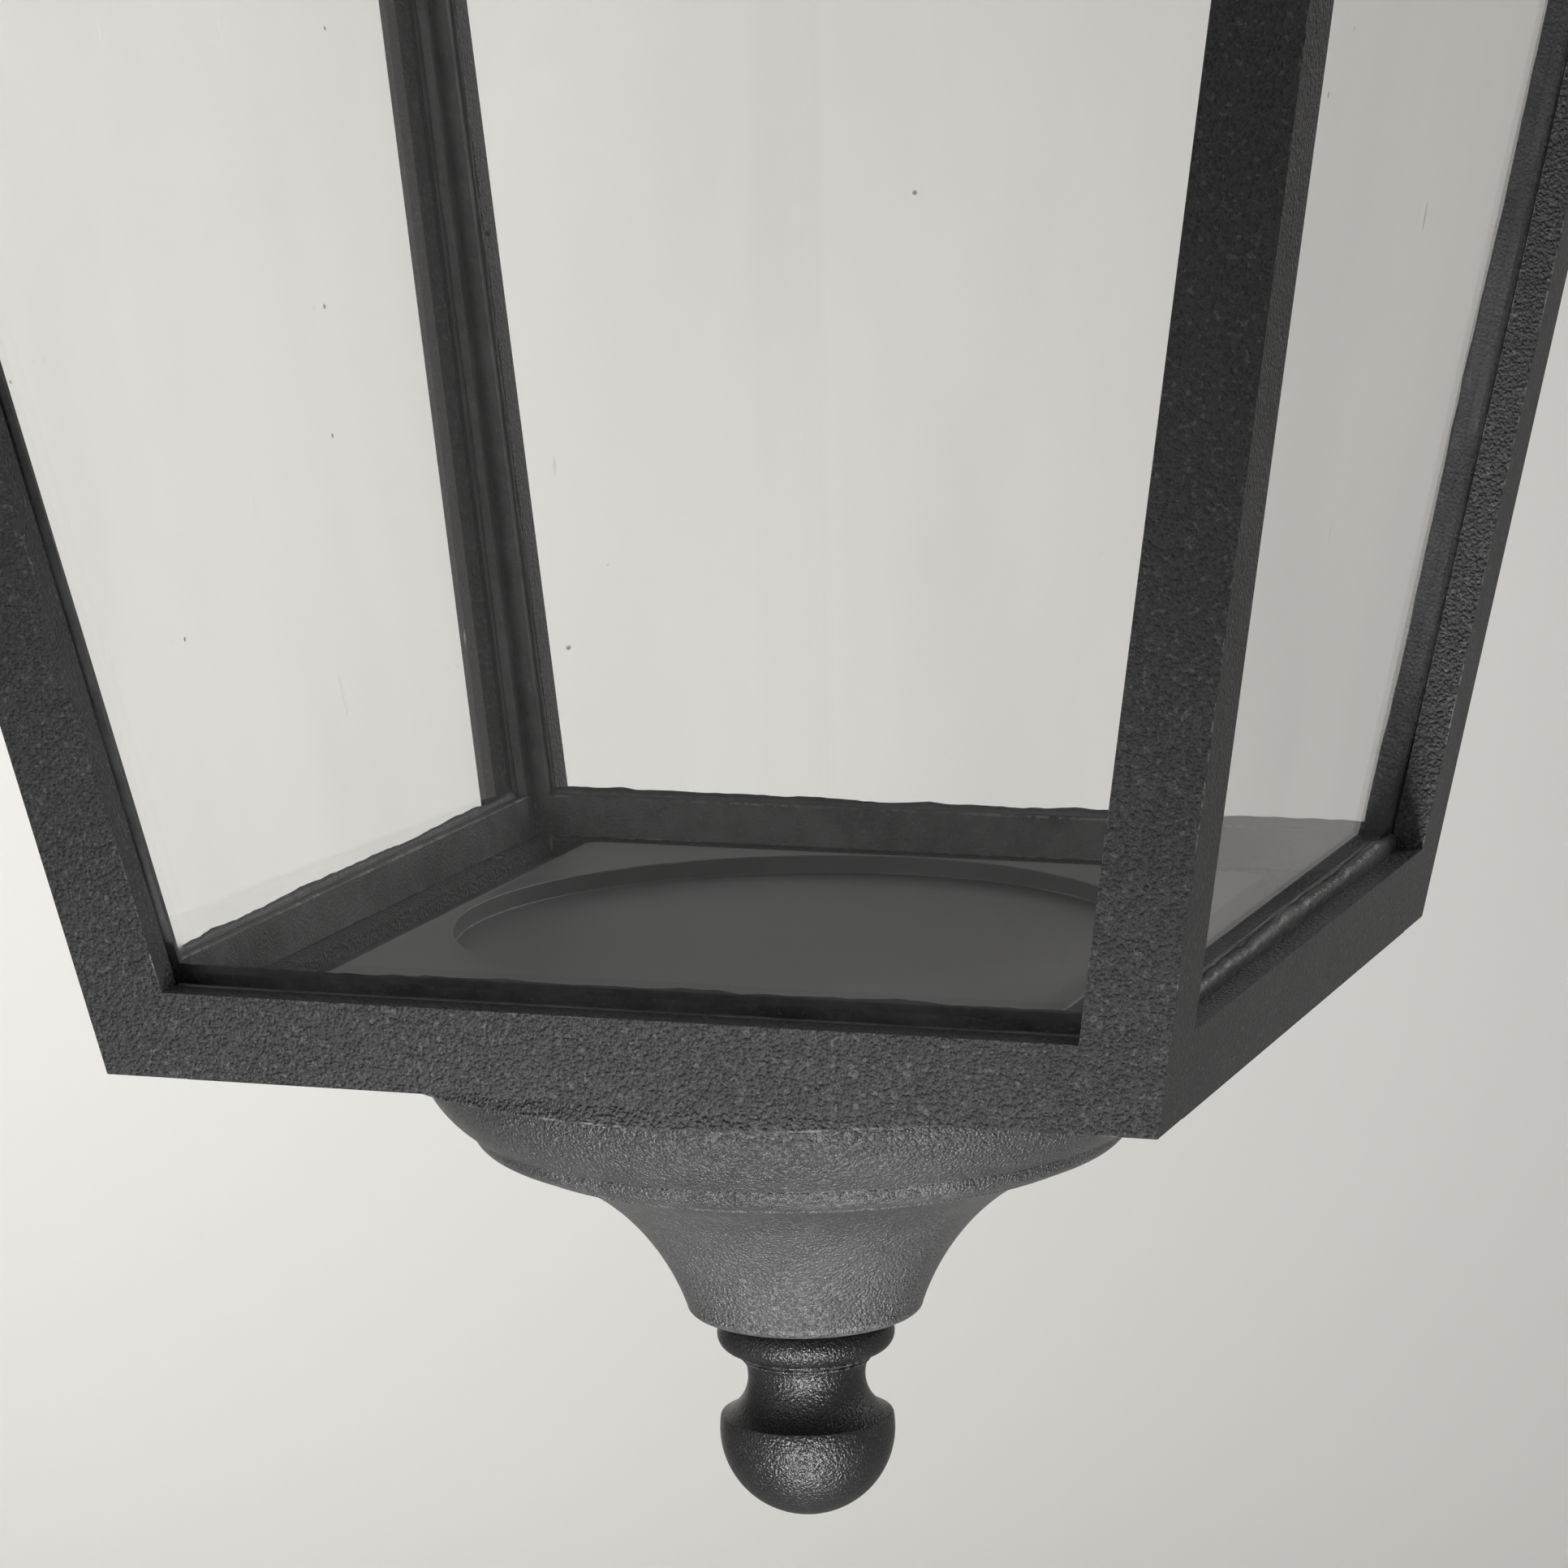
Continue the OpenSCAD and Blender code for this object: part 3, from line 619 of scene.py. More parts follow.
class Finishes:
    """Every finish of the lantern, built once."""

    def __init__(self) -> None:
        """Builds the materials."""
        self.frame = CoatFinish(
            "sand_textured_charcoal", (0.047, 0.0475, 0.049), (0.056, 0.0565, 0.058), (0.24, 0.24, 0.24),
            grains=1050.0, relief=0.0012, roughness=0.46, tips=0.3, wear=1.0, dust=0.1,
        ).material()
        self.base = CoatFinish(
            "satin_charcoal_base", (0.05, 0.05, 0.051), (0.078, 0.078, 0.079), (0.3, 0.3, 0.3),
            grains=1250.0, relief=0.0008, roughness=0.31, tips=0.2, wear=0.2, dust=0.03,
            patches=22.0, sheen=0.65,
        ).material()
        self.finial = CoatFinish(
            "dark_smooth_coat", (0.009, 0.009, 0.0095), (0.015, 0.015, 0.0155), (0.22, 0.22, 0.22),
            grains=1500.0, relief=0.00035, roughness=0.3, tips=0.08, wear=0.4, dust=0.02,
            patches=30.0, sheen=0.55,
        ).material()
        self.floor = CoatFinish(
            "grey_floor_coat", (0.095, 0.095, 0.097), (0.125, 0.125, 0.127), (0.3, 0.3, 0.3),
            grains=1900.0, relief=0.00005, roughness=0.42, tips=0.05, wear=0.5, dust=0.2, patches=14.0,
        ).material()
        self.inner = CoatFinish(
            "dark_inner_coat", (0.03, 0.03, 0.031), (0.13, 0.13, 0.131), (0.3, 0.3, 0.3),
            grains=1300.0, relief=0.0002, roughness=0.38, tips=0.15, wear=0.9, dust=0.15, patches=34.0,
        ).material()
        self.pane = PaneFinish("clear_pane").material()
        self.sealant = MouldedFinish(
            "dark_sealant", (0.05, 0.05, 0.051), (0.12, 0.12, 0.12), 0.35, 500.0, 0.0003
        ).material()
        self.chain = CoatFinish(
            "dark_chain_coat", (0.03, 0.03, 0.032), (0.045, 0.045, 0.047), (0.3, 0.3, 0.3),
            grains=1400.0, relief=0.0001, roughness=0.36, tips=0.12, wear=0.5, dust=0.08, patches=40.0,
        ).material()
        self.steel = MetalFinish("plated_steel", (0.6, 0.6, 0.61), (0.48, 0.48, 0.49), 0.28).material()
        self.brass = MetalFinish("turned_brass", (0.72, 0.53, 0.25), (0.55, 0.4, 0.2), 0.25).material()
        self.holder = MouldedFinish(
            "black_plastic", (0.012, 0.012, 0.013), (0.02, 0.02, 0.021), 0.28
        ).material()
        self.terminal = MouldedFinish("white_plastic", (0.75, 0.74, 0.7), (0.82, 0.81, 0.77), 0.42).material()
        self.rubber = MouldedFinish(
            "black_rubber", (0.012, 0.012, 0.012), (0.022, 0.022, 0.022), 0.6
        ).material()
        self.lamp_metal = MetalFinish(
            "pressed_lamp_metal", (0.8, 0.8, 0.81), (0.66, 0.66, 0.67), 0.2
        ).material()
        self.lamp_glass = LampGlassFinish("white_lamp_glass").material()


# ---------------------------------------------------------------------------- mesh tools


def mark_edges(bm: bmesh.types.BMesh, faces: Sequence[bmesh.types.BMFace]) -> None:
    """Writes 1 on the corners of the given faces and 0 elsewhere, in the attribute named edge.

    Args:
        bm: the mesh.
        faces: faces that lie along a worn edge.
    """
    layer = bm.loops.layers.float_color.get("edge") or bm.loops.layers.float_color.new("edge")
    marked = set(faces)
    for face in bm.faces:
        value = 1.0 if face in marked else 0.0
        for loop in face.loops:
            loop[layer] = (value, value, value, 1.0)


def finish_mesh(name: str, bm: bmesh.types.BMesh, sharp_angle: float = 30.0) -> bpy.types.Object:
    """Turns a mesh under construction into a smooth-shaded object.

    Args:
        name: the piece's name.
        bm: the mesh, which is freed.
        sharp_angle: edges that turn by more than this, in degrees, stay sharp.

    Returns:
        The new object.
    """
    mesh = bpy.data.meshes.new(name)
    bm.to_mesh(mesh)
    bm.free()
    for face in mesh.polygons:
        face.use_smooth = True
    mesh.set_sharp_from_angle(angle=math.radians(sharp_angle))
    made = bpy.data.objects.new(name, mesh)
    bpy.context.scene.collection.objects.link(made)
    return made


def even_normals(piece: bpy.types.Object) -> None:
    """Keeps broad faces flat next to their rounded edges.

    Args:
        piece: the piece.
    """
    modifier = piece.modifiers.new("even_normals", "WEIGHTED_NORMAL")
    modifier.mode = "FACE_AREA"
    modifier.weight = 90
    modifier.keep_sharp = True


def dress(
    piece: bpy.types.Object, finish: bpy.types.Material, body: Body, slot: str | None, *nodes: str
) -> None:
    """Gives a piece its finish, its body and the parts it stands for.

    Args:
        piece: the piece.
        finish: its material.
        body: the body it rides on.
        slot: the record's material slot, if it has one; not used.
        nodes: the parts it replaces.
    """
    piece.data.materials.clear()
    piece.data.materials.append(finish)
    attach(piece, body.value)
    if nodes:
        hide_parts(*nodes)
    LOG.info("%s rides on %s", piece.name, body.value)


def paint(node: str, finish: bpy.types.Material) -> None:
    """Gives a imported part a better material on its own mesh.

    Args:
        node: the part's name.
        finish: the material.
    """
    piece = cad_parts[node]
    if not piece.material_slots:
        piece.data.materials.append(finish)
    for place in piece.material_slots:
        place.material = finish
    LOG.info("%s keeps its shape", node)


def eased_copy(
    node: str,
    name: str,
    radius: float,
    segments: int = 2,
    cuts: Sequence[float] = (),
    square: Callable[[Vector, Vector], bool] | None = None,
) -> bpy.types.Object:
    """Copies a flat-sided part with its sharp edges rounded.

    Args:
        node: the part to copy.
        name: the new piece's name.
        radius: how far each edge is cut back.
        segments: faces across each rounded edge.
        cuts: heights at which edges are split first, so that only a stretch is rounded.
        square: tells from an edge's two ends whether it stays square.

    Returns:
        The new piece.
    """
    bm = bmesh.new()
    bm.from_mesh(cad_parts[node].data)
    bmesh.ops.remove_doubles(bm, verts=bm.verts, dist=2e-6)
    bmesh.ops.dissolve_limit(
        bm, angle_limit=math.radians(0.4), verts=bm.verts, edges=bm.edges, use_dissolve_boundaries=False
    )
    for height in cuts:
        everything = list(bm.verts) + list(bm.edges) + list(bm.faces)
        bmesh.ops.bisect_plane(
            bm, geom=everything, dist=1e-6, plane_co=(0.0, 0.0, height), plane_no=(0.0, 0.0, 1.0)
        )
    sharp = [
        edge for edge in bm.edges
        if len(edge.link_faces) == 2
        and edge.calc_face_angle(0.0) > math.radians(25)
        and edge.calc_length() > radius
        and not (square and square(edge.verts[0].co, edge.verts[1].co))
    ]
    made = bmesh.ops.bevel(
        bm, geom=sharp, offset=radius, offset_type="OFFSET", segments=segments,
        profile=0.5, affect="EDGES", clamp_overlap=True,
    )
    mark_edges(bm, made["faces"])
    piece = finish_mesh(name, bm, 40.0)
    even_normals(piece)
    return piece


def arc(centre: Point, radii: Point, start: float, end: float, steps: int = 12) -> list[Point]:
    """Points of an elliptical arc.

    Args:
        centre: its centre.
        radii: its half widths.
        start: first angle in degrees.
        end: last angle in degrees.
        steps: number of stretches.

    Returns:
        The points, both ends included.
    """
    angles = [math.radians(start + (end - start) * i / steps) for i in range(steps + 1)]
    return [(centre[0] + radii[0] * math.cos(a), centre[1] + radii[1] * math.sin(a)) for a in angles]


def bow(a: Point, b: Point, radius: float, steps: int = 14) -> list[Point]:
    """Points of a circular arc between two points, hollow towards the right of the way.

    Args:
        a: first point.
        b: last point.
        radius: radius of the arc.
        steps: number of stretches.

    Returns:
        The points, both ends included.
    """
    start, end = Vector(a), Vector(b)
    half = (end - start).length / 2
    along = (end - start).normalized()
    left = Vector((-along.y, along.x))
    centre = (start + end) / 2 + left * math.sqrt(radius * radius - half * half)
    reach = math.asin(half / radius)
    turns = [-reach + 2 * reach * i / steps for i in range(steps + 1)]
    points = [centre - left * radius * math.cos(t) + along * radius * math.sin(t) for t in turns]
    return [(p.x, p.y) for p in points]


def lathe(
    name: str, outline: Sequence[Point], around: int = 192, sharp_angle: float = 28.0, worn: float = 0.0
) -> bpy.types.Object:
    """Turns an outline of radius and height about the vertical axis.

    Args:
        name: the piece's name.
        outline: points from the top middle to the bottom middle, or a closed loop.
        around: number of faces round the axis.
        sharp_angle: corners of the outline that turn by more than this stay sharp.
        worn: faces shorter than this along the outline are marked as worn edges.

    Returns:
        The new piece.
    """
    bm = bmesh.new()
    rings = []
    for radius, height in outline:
        if radius < 1e-7:
            rings.append([bm.verts.new((0.0, 0.0, height))])
            continue
        ring = []
        for i in range(around):
            turn = 2 * math.pi * i / around
            ring.append(bm.verts.new((radius * math.cos(turn), radius * math.sin(turn), height)))
        rings.append(ring)
    edges = []
    closed = len(rings[0]) > 1 and len(rings[-1]) > 1
    count = len(rings)
    for k in range(count if closed else count - 1):
        upper, lower = rings[k], rings[(k + 1) % count]
        length = (Vector(outline[k]) - Vector(outline[(k + 1) % count])).length
        for i in range(around):
            j = (i + 1) % around
            above = [upper[i % len(upper)], upper[j % len(upper)]]
            below = [lower[j % len(lower)], lower[i % len(lower)]]
            corners = list(dict.fromkeys(above + below))
            if len(corners) < 3:
                continue
            face = bm.faces.new(corners)
            if length < worn:
                edges.append(face)
    mark_edges(bm, edges)
    bmesh.ops.recalc_face_normals(bm, faces=bm.faces)
    return finish_mesh(name, bm, sharp_angle)


def swept_ring(
    path: Sequence[Vector], radius: Callable[[float], float], sides: int = 28
) -> bmesh.types.BMesh:
    """Sweeps a round wire along a closed flat path.

    Args:
        path: points of the middle of the wire.
        radius: the wire's radius at a share of the way round.
        sides: number of faces round the wire.

    Returns:
        The mesh under construction.
    """
    bm = bmesh.new()
    count = len(path)
    flat = (path[1] - path[0]).cross(path[count // 3] - path[0]).normalized()
    rings = []
    for k, point in enumerate(path):
        along = (path[(k + 1) % count] - path[k - 1]).normalized()
        out = along.cross(flat).normalized()
        size = radius(k / count)
        ring = []
        for i in range(sides):
            turn = 2 * math.pi * i / sides
            ring.append(bm.verts.new(point + (out * math.cos(turn) + flat * math.sin(turn)) * size))
        rings.append(ring)
    for k in range(count):
        near, far = rings[k], rings[(k + 1) % count]
        for i in range(sides):
            j = (i + 1) % sides
            bm.faces.new((near[i], near[j], far[j], far[i]))
    bmesh.ops.recalc_face_normals(bm, faces=bm.faces)
    mark_edges(bm, [])
    return bm


# ---------------------------------------------------------------------------- sub-assemblies


@dataclass
class Cage:
    """The tapered frame: legs, rails, cornice, and the lines the glazing follows."""

    finishes: Finishes
    base_half: float = 92 * MM
    flare: float = 0.188
    bar_w: float = 15 * MM
    rail_h: float = 15.3 * MM
    height: float = 280 * MM
    wall: float = 6.2 * MM
    edge: float = 0.5 * MM
    near: float = 0.06 * MM
    foot: float = field(init=False)

    def __post_init__(self) -> None:
        """Reads the level of the cage's lower edge from the parts."""
        self.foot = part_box("leg_front_right")[0].z

    def half(self, height: float) -> float:
        """Half of the cage's width.

        Args:
            height: height above the cage's lower edge.

        Returns:
            Half of the width at that height.
        """
        return self.base_half + self.flare * height

    def lifted(self, outline: Sequence[Point]) -> list[Point]:
        """Moves an outline from the cage's own heights to the frame's.

        Args:
            outline: points of radius and height above the cage's lower edge.

        Returns:
            The moved points.
        """
        return [(radius, height + self.foot) for radius, height in outline]

    def on_face(self, side: Side, across: float, height: float, depth: float) -> Vector:
        """A point in a leaning face.

        Args:
            side: which side of the cage.
            across: distance to the right of the face's middle.
            height: height above the cage's lower edge.
            depth: distance inwards from the face.

        Returns:
            The point.
        """
        return side.turn @ Vector((across, depth - self.half(height), height + self.foot))

    def leg_joint(self, a: Vector, b: Vector) -> bool:
        """Tells whether an edge of a leg lies in a joint with a rail, where the metal runs on.

        Args:
            a: one end of the edge.
            b: its other end.

        Returns:
            Whether the edge stays square.
        """
        for first, second in ((0, 1), (1, 0)):
            inner = all(
                abs(abs(end[first]) - (self.half(end.z - self.foot) - self.bar_w)) < self.near
                and abs(end[second]) > self.half(end.z - self.foot) - self.wall - self.near
                for end in (a, b)
            )
            middle = (a.z + b.z) / 2 - self.foot
            if inner and (middle < self.rail_h or middle > self.height - self.rail_h):
                return True
        return min(a.z, b.z) - self.foot > self.height - self.near

    def rail_joint(self, a: Vector, b: Vector) -> bool:
        """Tells whether an edge of a rail lies in a joint with a leg or a mitre.

        Args:
            a: one end of the edge.
            b: its other end.

        Returns:
            Whether the edge stays square.
        """
        mitred = all(abs(abs(end.x) - abs(end.y)) < self.near for end in (a, b))
        butted = all(
            abs(min(abs(end.x), abs(end.y)) - (self.half(end.z - self.foot) - self.bar_w)) < self.near
            for end in (a, b)
        )
        return mitred or butted

    def build(self) -> None:
        """Builds the legs, the rails and the cornice."""
        cuts = (self.foot + self.rail_h, self.foot + self.height - self.rail_h)
        for corner in Corner:
            node = f"leg_{corner.label}"
            piece = eased_copy(node, f"{node}_cast", self.edge, 2, cuts, self.leg_joint)
            dress(piece, self.finishes.frame, Body.LANTERN, "frame_coat", node)
        for node in [f"{kind}_rail_{side.label}" for kind in ("lower", "top") for side in Side]:
            piece = eased_copy(node, f"{node}_cast", self.edge, 2, (), self.rail_joint)
            dress(piece, self.finishes.frame, Body.LANTERN, "frame_coat", node)


@dataclass
class Glazing:
    """Panes, the sealant round them, beads, corner angles and their screws."""

    finishes: Finishes
    cage: Cage
    glass_out: float = 6.35 * MM
    glass_in: float = 9.35 * MM
    bead_foot: float = 10 * MM
    bead_h: float = 8 * MM
    tuck: float = 0.6 * MM
    skin: float = 0.02 * MM
    wide_run: Point = (3.4 * MM, -1.6 * MM)
    thin_run: Point = (0.5 * MM, -0.5 * MM)
    inner_run: Point = (1.5 * MM, 0.8 * MM)
    upright_run: Point = (0.9 * MM, 0.7 * MM)
    steps: int = 110

    def sealant(
        self, name: str, side: Side, start: Point, end: Point, out: Point, depth: float, size: Point
    ) -> bpy.types.Object:
        """Builds an uneven line of sealant that lies on a pane along the edge of a bar.

        Args:
            name: the piece's name.
            side: which pane.
            start: across and height of the line's first end.
            end: across and height of its last end.
            out: direction over the glass, away from the bar.
            depth: depth of the glass surface; a negative thickness rises outwards from it.
            size: width over the glass, and thickness.

        Returns:
            The new piece.
        """
        bm = bmesh.new()
        rings = []
        for i in range(self.steps + 1):
            share = i / self.steps
            across = start[0] + (end[0] - start[0]) * share
            height = start[1] + (end[1] - start[1]) * share
            seed = Vector((across * 70 + height * 60, side.value * 7.3 + len(name), depth * 900))
            wave = 0.55 * noise.noise(seed) + 0.3 * noise.noise(seed * 3.3) + 0.15 * noise.noise(seed * 9.0)
            width = size[0] * (0.8 + 0.7 * wave)
            thick = size[1] * (0.85 + 0.5 * wave)
            outline = [(-self.tuck, 0.0), (width, 0.0), (width * 0.86, thick * 0.55),
                       (width * 0.45, thick * 0.95), (-self.tuck, thick)]
            points = [
                self.cage.on_face(side, across + out[0] * over, height + out[1] * over, depth + rise)
                for over, rise in outline
            ]
            rings.append([bm.verts.new(point) for point in points])
        for near, far in zip(rings, rings[1:]):
            for k in range(len(near)):
                j = (k + 1) % len(near)
                bm.faces.new((near[k], near[j], far[j], far[k]))
        bm.faces.new(rings[0])
        bm.faces.new(list(reversed(rings[-1])))
        bmesh.ops.recalc_face_normals(bm, faces=bm.faces)
        mark_edges(bm, [])
        return finish_mesh(name, bm, 60.0)

    def seal(self, side: Side) -> None:
        """Seals one pane: outside along the lower rail, inside along the bead and both angles.

        Args:
            side: which pane.
        """
        cage = self.cage
        foot = cage.rail_h - 0.1 * MM
        reach = cage.half(foot) - cage.bar_w - 0.3 * MM
        size = self.wide_run if side is Side.RIGHT else self.thin_run
        low = self.bead_foot + self.bead_h
        high = cage.height - 1 * MM
        inside = self.glass_in + self.skin
        wide, narrow = cage.half(low) - cage.bar_w, cage.half(high) - cage.bar_w
        runs = [
            ("sealant_{}", (-reach, foot), (reach, foot), (0.0, 1.0), self.glass_out - self.skin, size),
            ("inner_sealant_{}", (-wide, low), (wide, low), (0.0, 1.0), inside, self.inner_run),
        ]
        for hand, label in ((-1, "start"), (1, "end")):
            ends = (hand * wide, low), (hand * narrow, high)
            runs.append((f"inner_sealant_{{}}_{label}", *ends, (-hand, 0.0), inside, self.upright_run))
        for name, start, end, out, depth, size in runs:
            run = self.sealant(name.format(side.label), side, start, end, out, depth, size)
            dress(run, self.finishes.sealant, Body.LANTERN, None)

    def build(self) -> None:
        """Builds the glazing on all four sides."""
        for side in Side:
            pane = eased_copy(f"pane_{side.label}", f"pane_{side.label}_glass", 0.25 * MM, 1)
            dress(pane, self.finishes.pane, Body.LANTERN, "pane_glass", f"pane_{side.label}")
            bead = eased_copy(f"bead_{side.label}", f"bead_{side.label}_bar", 0.4 * MM)
            dress(bead, self.finishes.inner, Body.LANTERN, "inner_coat", f"bead_{side.label}")
            self.seal(side)
        for corner in Corner:
            node = f"corner_angle_{corner.label}"
            angle = eased_copy(node, f"{node}_bar", 0.4 * MM)
            dress(angle, self.finishes.inner, Body.LANTERN, "inner_coat", node)
        paint("angle_screws", self.finishes.steel)


@dataclass
class Floor:
    """The tray, the raised floor plate and the screws that hold them."""

    finishes: Finishes

    def build(self) -> None:
        """Builds the floor."""
        tray = eased_copy("base_tray", "base_tray_plate", 0.4 * MM)
        dress(tray, self.finishes.inner, Body.LANTERN, "inner_coat", "base_tray")
        plate = eased_copy("floor_plate", "floor_plate_pressed", 1.1 * MM, 4)
        dress(plate, self.finishes.floor, Body.LANTERN, "floor_coat", "floor_plate")
        for node in ("tray_screws", "floor_screws", "tie_stud", "stud_washer", "stud_nut"):
            paint(node, self.finishes.steel)


@dataclass
class TurnedBase:
    """The turned casting under the cage and the ball finial."""

    finishes: Finishes
    cage: Cage
    rim_r: float = 80 * MM
    rim_top: float = 3 * MM
    rim_low: float = -6.8 * MM
    bowl_r: float = 68.8 * MM
    bowl_low_r: float = 60.2 * MM
    bowl_low: float = -21.8 * MM
    step_r: float = 53 * MM
    step_low: float = -27.4 * MM
    cove_curve: float = 46.6 * MM
    foot_r: float = 21.3 * MM
    foot_low: float = -56.8 * MM
    base_low: float = -59.2 * MM
    ball_r: float = 15.85 * MM
    ball_z: float = -80.4 * MM
    neck_r: float = 11 * MM
    ring_r: float = 16.05 * MM
    sharp_angle: float = 26.0

    def rim_outline(self) -> list[Point]:
        """Outline of the straight rim under the rails, as a closed loop.

        Returns:
            Points of radius and height.
        """
        ease = 0.5 * MM
        outline = [(self.bowl_r - 4 * MM, self.rim_top), (self.rim_r - ease, self.rim_top)]
        outline += arc((self.rim_r - ease, self.rim_low + ease), (ease, ease), 0, -90, 4)
        outline += [(self.bowl_r - 4 * MM, self.rim_low)]
        return self.cage.lifted(outline)

    def casting_outline(self) -> list[Point]:
        """Outline of the bowl, the bead and the hollow moulding, from the top middle down.

        Returns:
            Points of radius and height.
        """
        outline = [(0.0, self.rim_top - 0.2 * MM), (self.bowl_r - 4.2 * MM, self.rim_top - 0.2 * MM)]
        outline.append((self.bowl_r - 4.2 * MM, self.rim_low))
        outline.append((self.bowl_r + 0.2 * MM, self.rim_low - 0.02 * MM))
        bowl_in = self.bowl_low_r - 14.2 * MM
        bowl_h = self.rim_low - (self.bowl_low - 4.2 * MM)
        outline += arc((bowl_in, self.rim_low), (self.bowl_r - bowl_in, bowl_h), 0, -50, 18)
        rim = self.bowl_low_r
        outline += [(rim - 0.1 * MM, self.bowl_low - 0.1 * MM), (rim - 0.9 * MM, self.bowl_low - 0.2 * MM),
                    (rim - 0.9 * MM, self.bowl_low - 0.6 * MM)]
        outline += arc((self.step_r + 0.2 * MM, self.bowl_low - 0.7 * MM), (5.9 * MM, 3.9 * MM), -4, -78, 12)
        outline += [(self.step_r, self.step_low + 0.5 * MM), (self.step_r - 0.4 * MM, self.step_low)]
        outline += [(self.step_r - 2.4 * MM, self.step_low - 0.25 * MM)]
        cove_start = (self.step_r - 3 * MM, self.step_low - 0.6 * MM)
        outline += bow(cove_start, (self.foot_r, self.foot_low), self.cove_curve, 30)
        roll = (5 * MM, self.foot_low - self.base_low)
        outline += arc((self.foot_r - 5 * MM, self.foot_low), roll, -8, -90, 8)
        outline += [(0.0, self.base_low)]
        return self.cage.lifted(outline)

    def finial_outline(self) -> list[Point]:
        """Outline of the finial: ring, two fine fillets, neck and ball.

        Returns:
            Points of radius and height.
        """
        top = self.base_low - 0.05 * MM
        roll = 3.25 * MM
        low = top - 2 * roll
        outline = [(0.0, top), (self.ring_r - roll, top)]
        outline += arc((self.ring_r - roll, top - roll), (roll, roll), 88, -88, 18)
        outline += [(self.neck_r + 1.5 * MM, low - 0.05 * MM)]
        outline += arc((self.neck_r + 1.1 * MM, low - 0.5 * MM), (0.5 * MM, 0.42 * MM), 70, -80, 5)
        outline += [(self.neck_r + 0.5 * MM, low - 1.05 * MM)]
        outline += arc((self.neck_r + 0.3 * MM, low - 1.5 * MM), (0.4 * MM, 0.35 * MM), 60, -80, 5)
        shoulder = (self.ball_r - 0.35 * MM, self.ball_z + 2.75 * MM)
        outline += bow((self.neck_r, low - 2.4 * MM), shoulder, 7.6 * MM, 16)
        start = math.degrees(math.asin(2.4 * MM / self.ball_r))
        outline += arc((0.0, self.ball_z), (self.ball_r, self.ball_r), start, -90, 40)
        outline[-1] = (0.0, self.ball_z - self.ball_r)
        return self.cage.lifted(outline)

    def build(self) -> None:
        """Builds the casting and the finial."""
        casting = lathe("base_casting_turned", self.casting_outline(), 256, self.sharp_angle, 0.9 * MM)
        dress(casting, self.finishes.base, Body.LANTERN, "base_coat", "base_casting")
        rim = lathe("base_rim_turned", self.rim_outline(), 256, self.sharp_angle, 0.9 * MM)
        dress(rim, self.finishes.frame, Body.LANTERN, "base_coat", "base_casting")
        finial = lathe("ball_finial_turned", self.finial_outline(), 192, self.sharp_angle, 0.3 * MM)
        dress(finial, self.finishes.finial, Body.LANTERN, "finial_coat", "ball_finial")


@dataclass
class Roof:
    """The hipped roof, the crown plate, the vent collar and the chimney cap."""

    finishes: Finishes

    def build(self) -> None:
        """Builds the roof."""
        for side in Side:
            node = f"roof_panel_{side.label}"
            panel = eased_copy(node, f"{node}_sheet", 0.6 * MM)
            dress(panel, self.finishes.frame, Body.LANTERN, "frame_coat", node)
        crown = eased_copy("crown_plate", "crown_plate_cast", 0.7 * MM)
        dress(crown, self.finishes.frame, Body.LANTERN, "frame_coat", "crown_plate")
        for node in ("vent_collar", "chimney_cap"):
            paint(node, self.finishes.frame)
        paint("tube_nut", self.finishes.steel)
        paint("threaded_tube", self.finishes.brass)
        paint("terminal_block", self.finishes.terminal)


@dataclass
class Lamp:
    """The lampholder and the lamp."""

    finishes: Finishes
    cage: Cage
    holder_z: float = 322 * MM
    holder_h: float = 32 * MM
    holder_r: float = 19.5 * MM
    cap_r: float = 13.2 * MM

    def holder_outline(self) -> list[Point]:
        """Outline of the lampholder's body: ribs, a threaded skirt and its loose ring.

        Returns:
            A closed loop of radius and height.
        """
        low = self.holder_z - self.holder_h
        outer = self.holder_r
        bore = self.cap_r + 0.2 * MM
        outline = [(bore, self.holder_z - 6 * MM), (4 * MM, self.holder_z - 6 * MM), (4 * MM, self.holder_z)]
        outline += [(outer - 0.4 * MM, self.holder_z), (outer, self.holder_z - 0.4 * MM)]
        height = self.holder_z - 2 * MM
        while height > low + 15 * MM:
            groove = outer - 0.6 * MM
            outline += [(outer, height), (groove, height - 0.5 * MM), (groove, height - 1.3 * MM),
                        (outer, height - 1.8 * MM)]
            height -= 3 * MM
        ring = outer + 1.5 * MM
        outline += [(outer, low + 14.2 * MM), (ring - 0.5 * MM, low + 14 * MM), (ring, low + 13.5 * MM),
                    (ring, low + 6.5 * MM), (ring - 0.5 * MM, low + 6 * MM),
                    (outer - 0.2 * MM, low + 5.8 * MM),
                    (outer - 0.2 * MM, low + 0.6 * MM), (outer - 0.8 * MM, low), (bore, low)]
        return self.cage.lifted(outline)

    def build(self) -> None:
        """Builds the lampholder's body and dresses the rest."""
        body = lathe("lampholder_ribbed", self.holder_outline(), 96, 30.0, 0.0)
        dress(body, self.finishes.holder, Body.LANTERN, "holder_plastic", "lampholder_body")
        paint("lampholder_cap", self.finishes.holder)
        paint("lamp_cap", self.finishes.lamp_metal)
        paint("lamp_glass", self.finishes.lamp_glass)


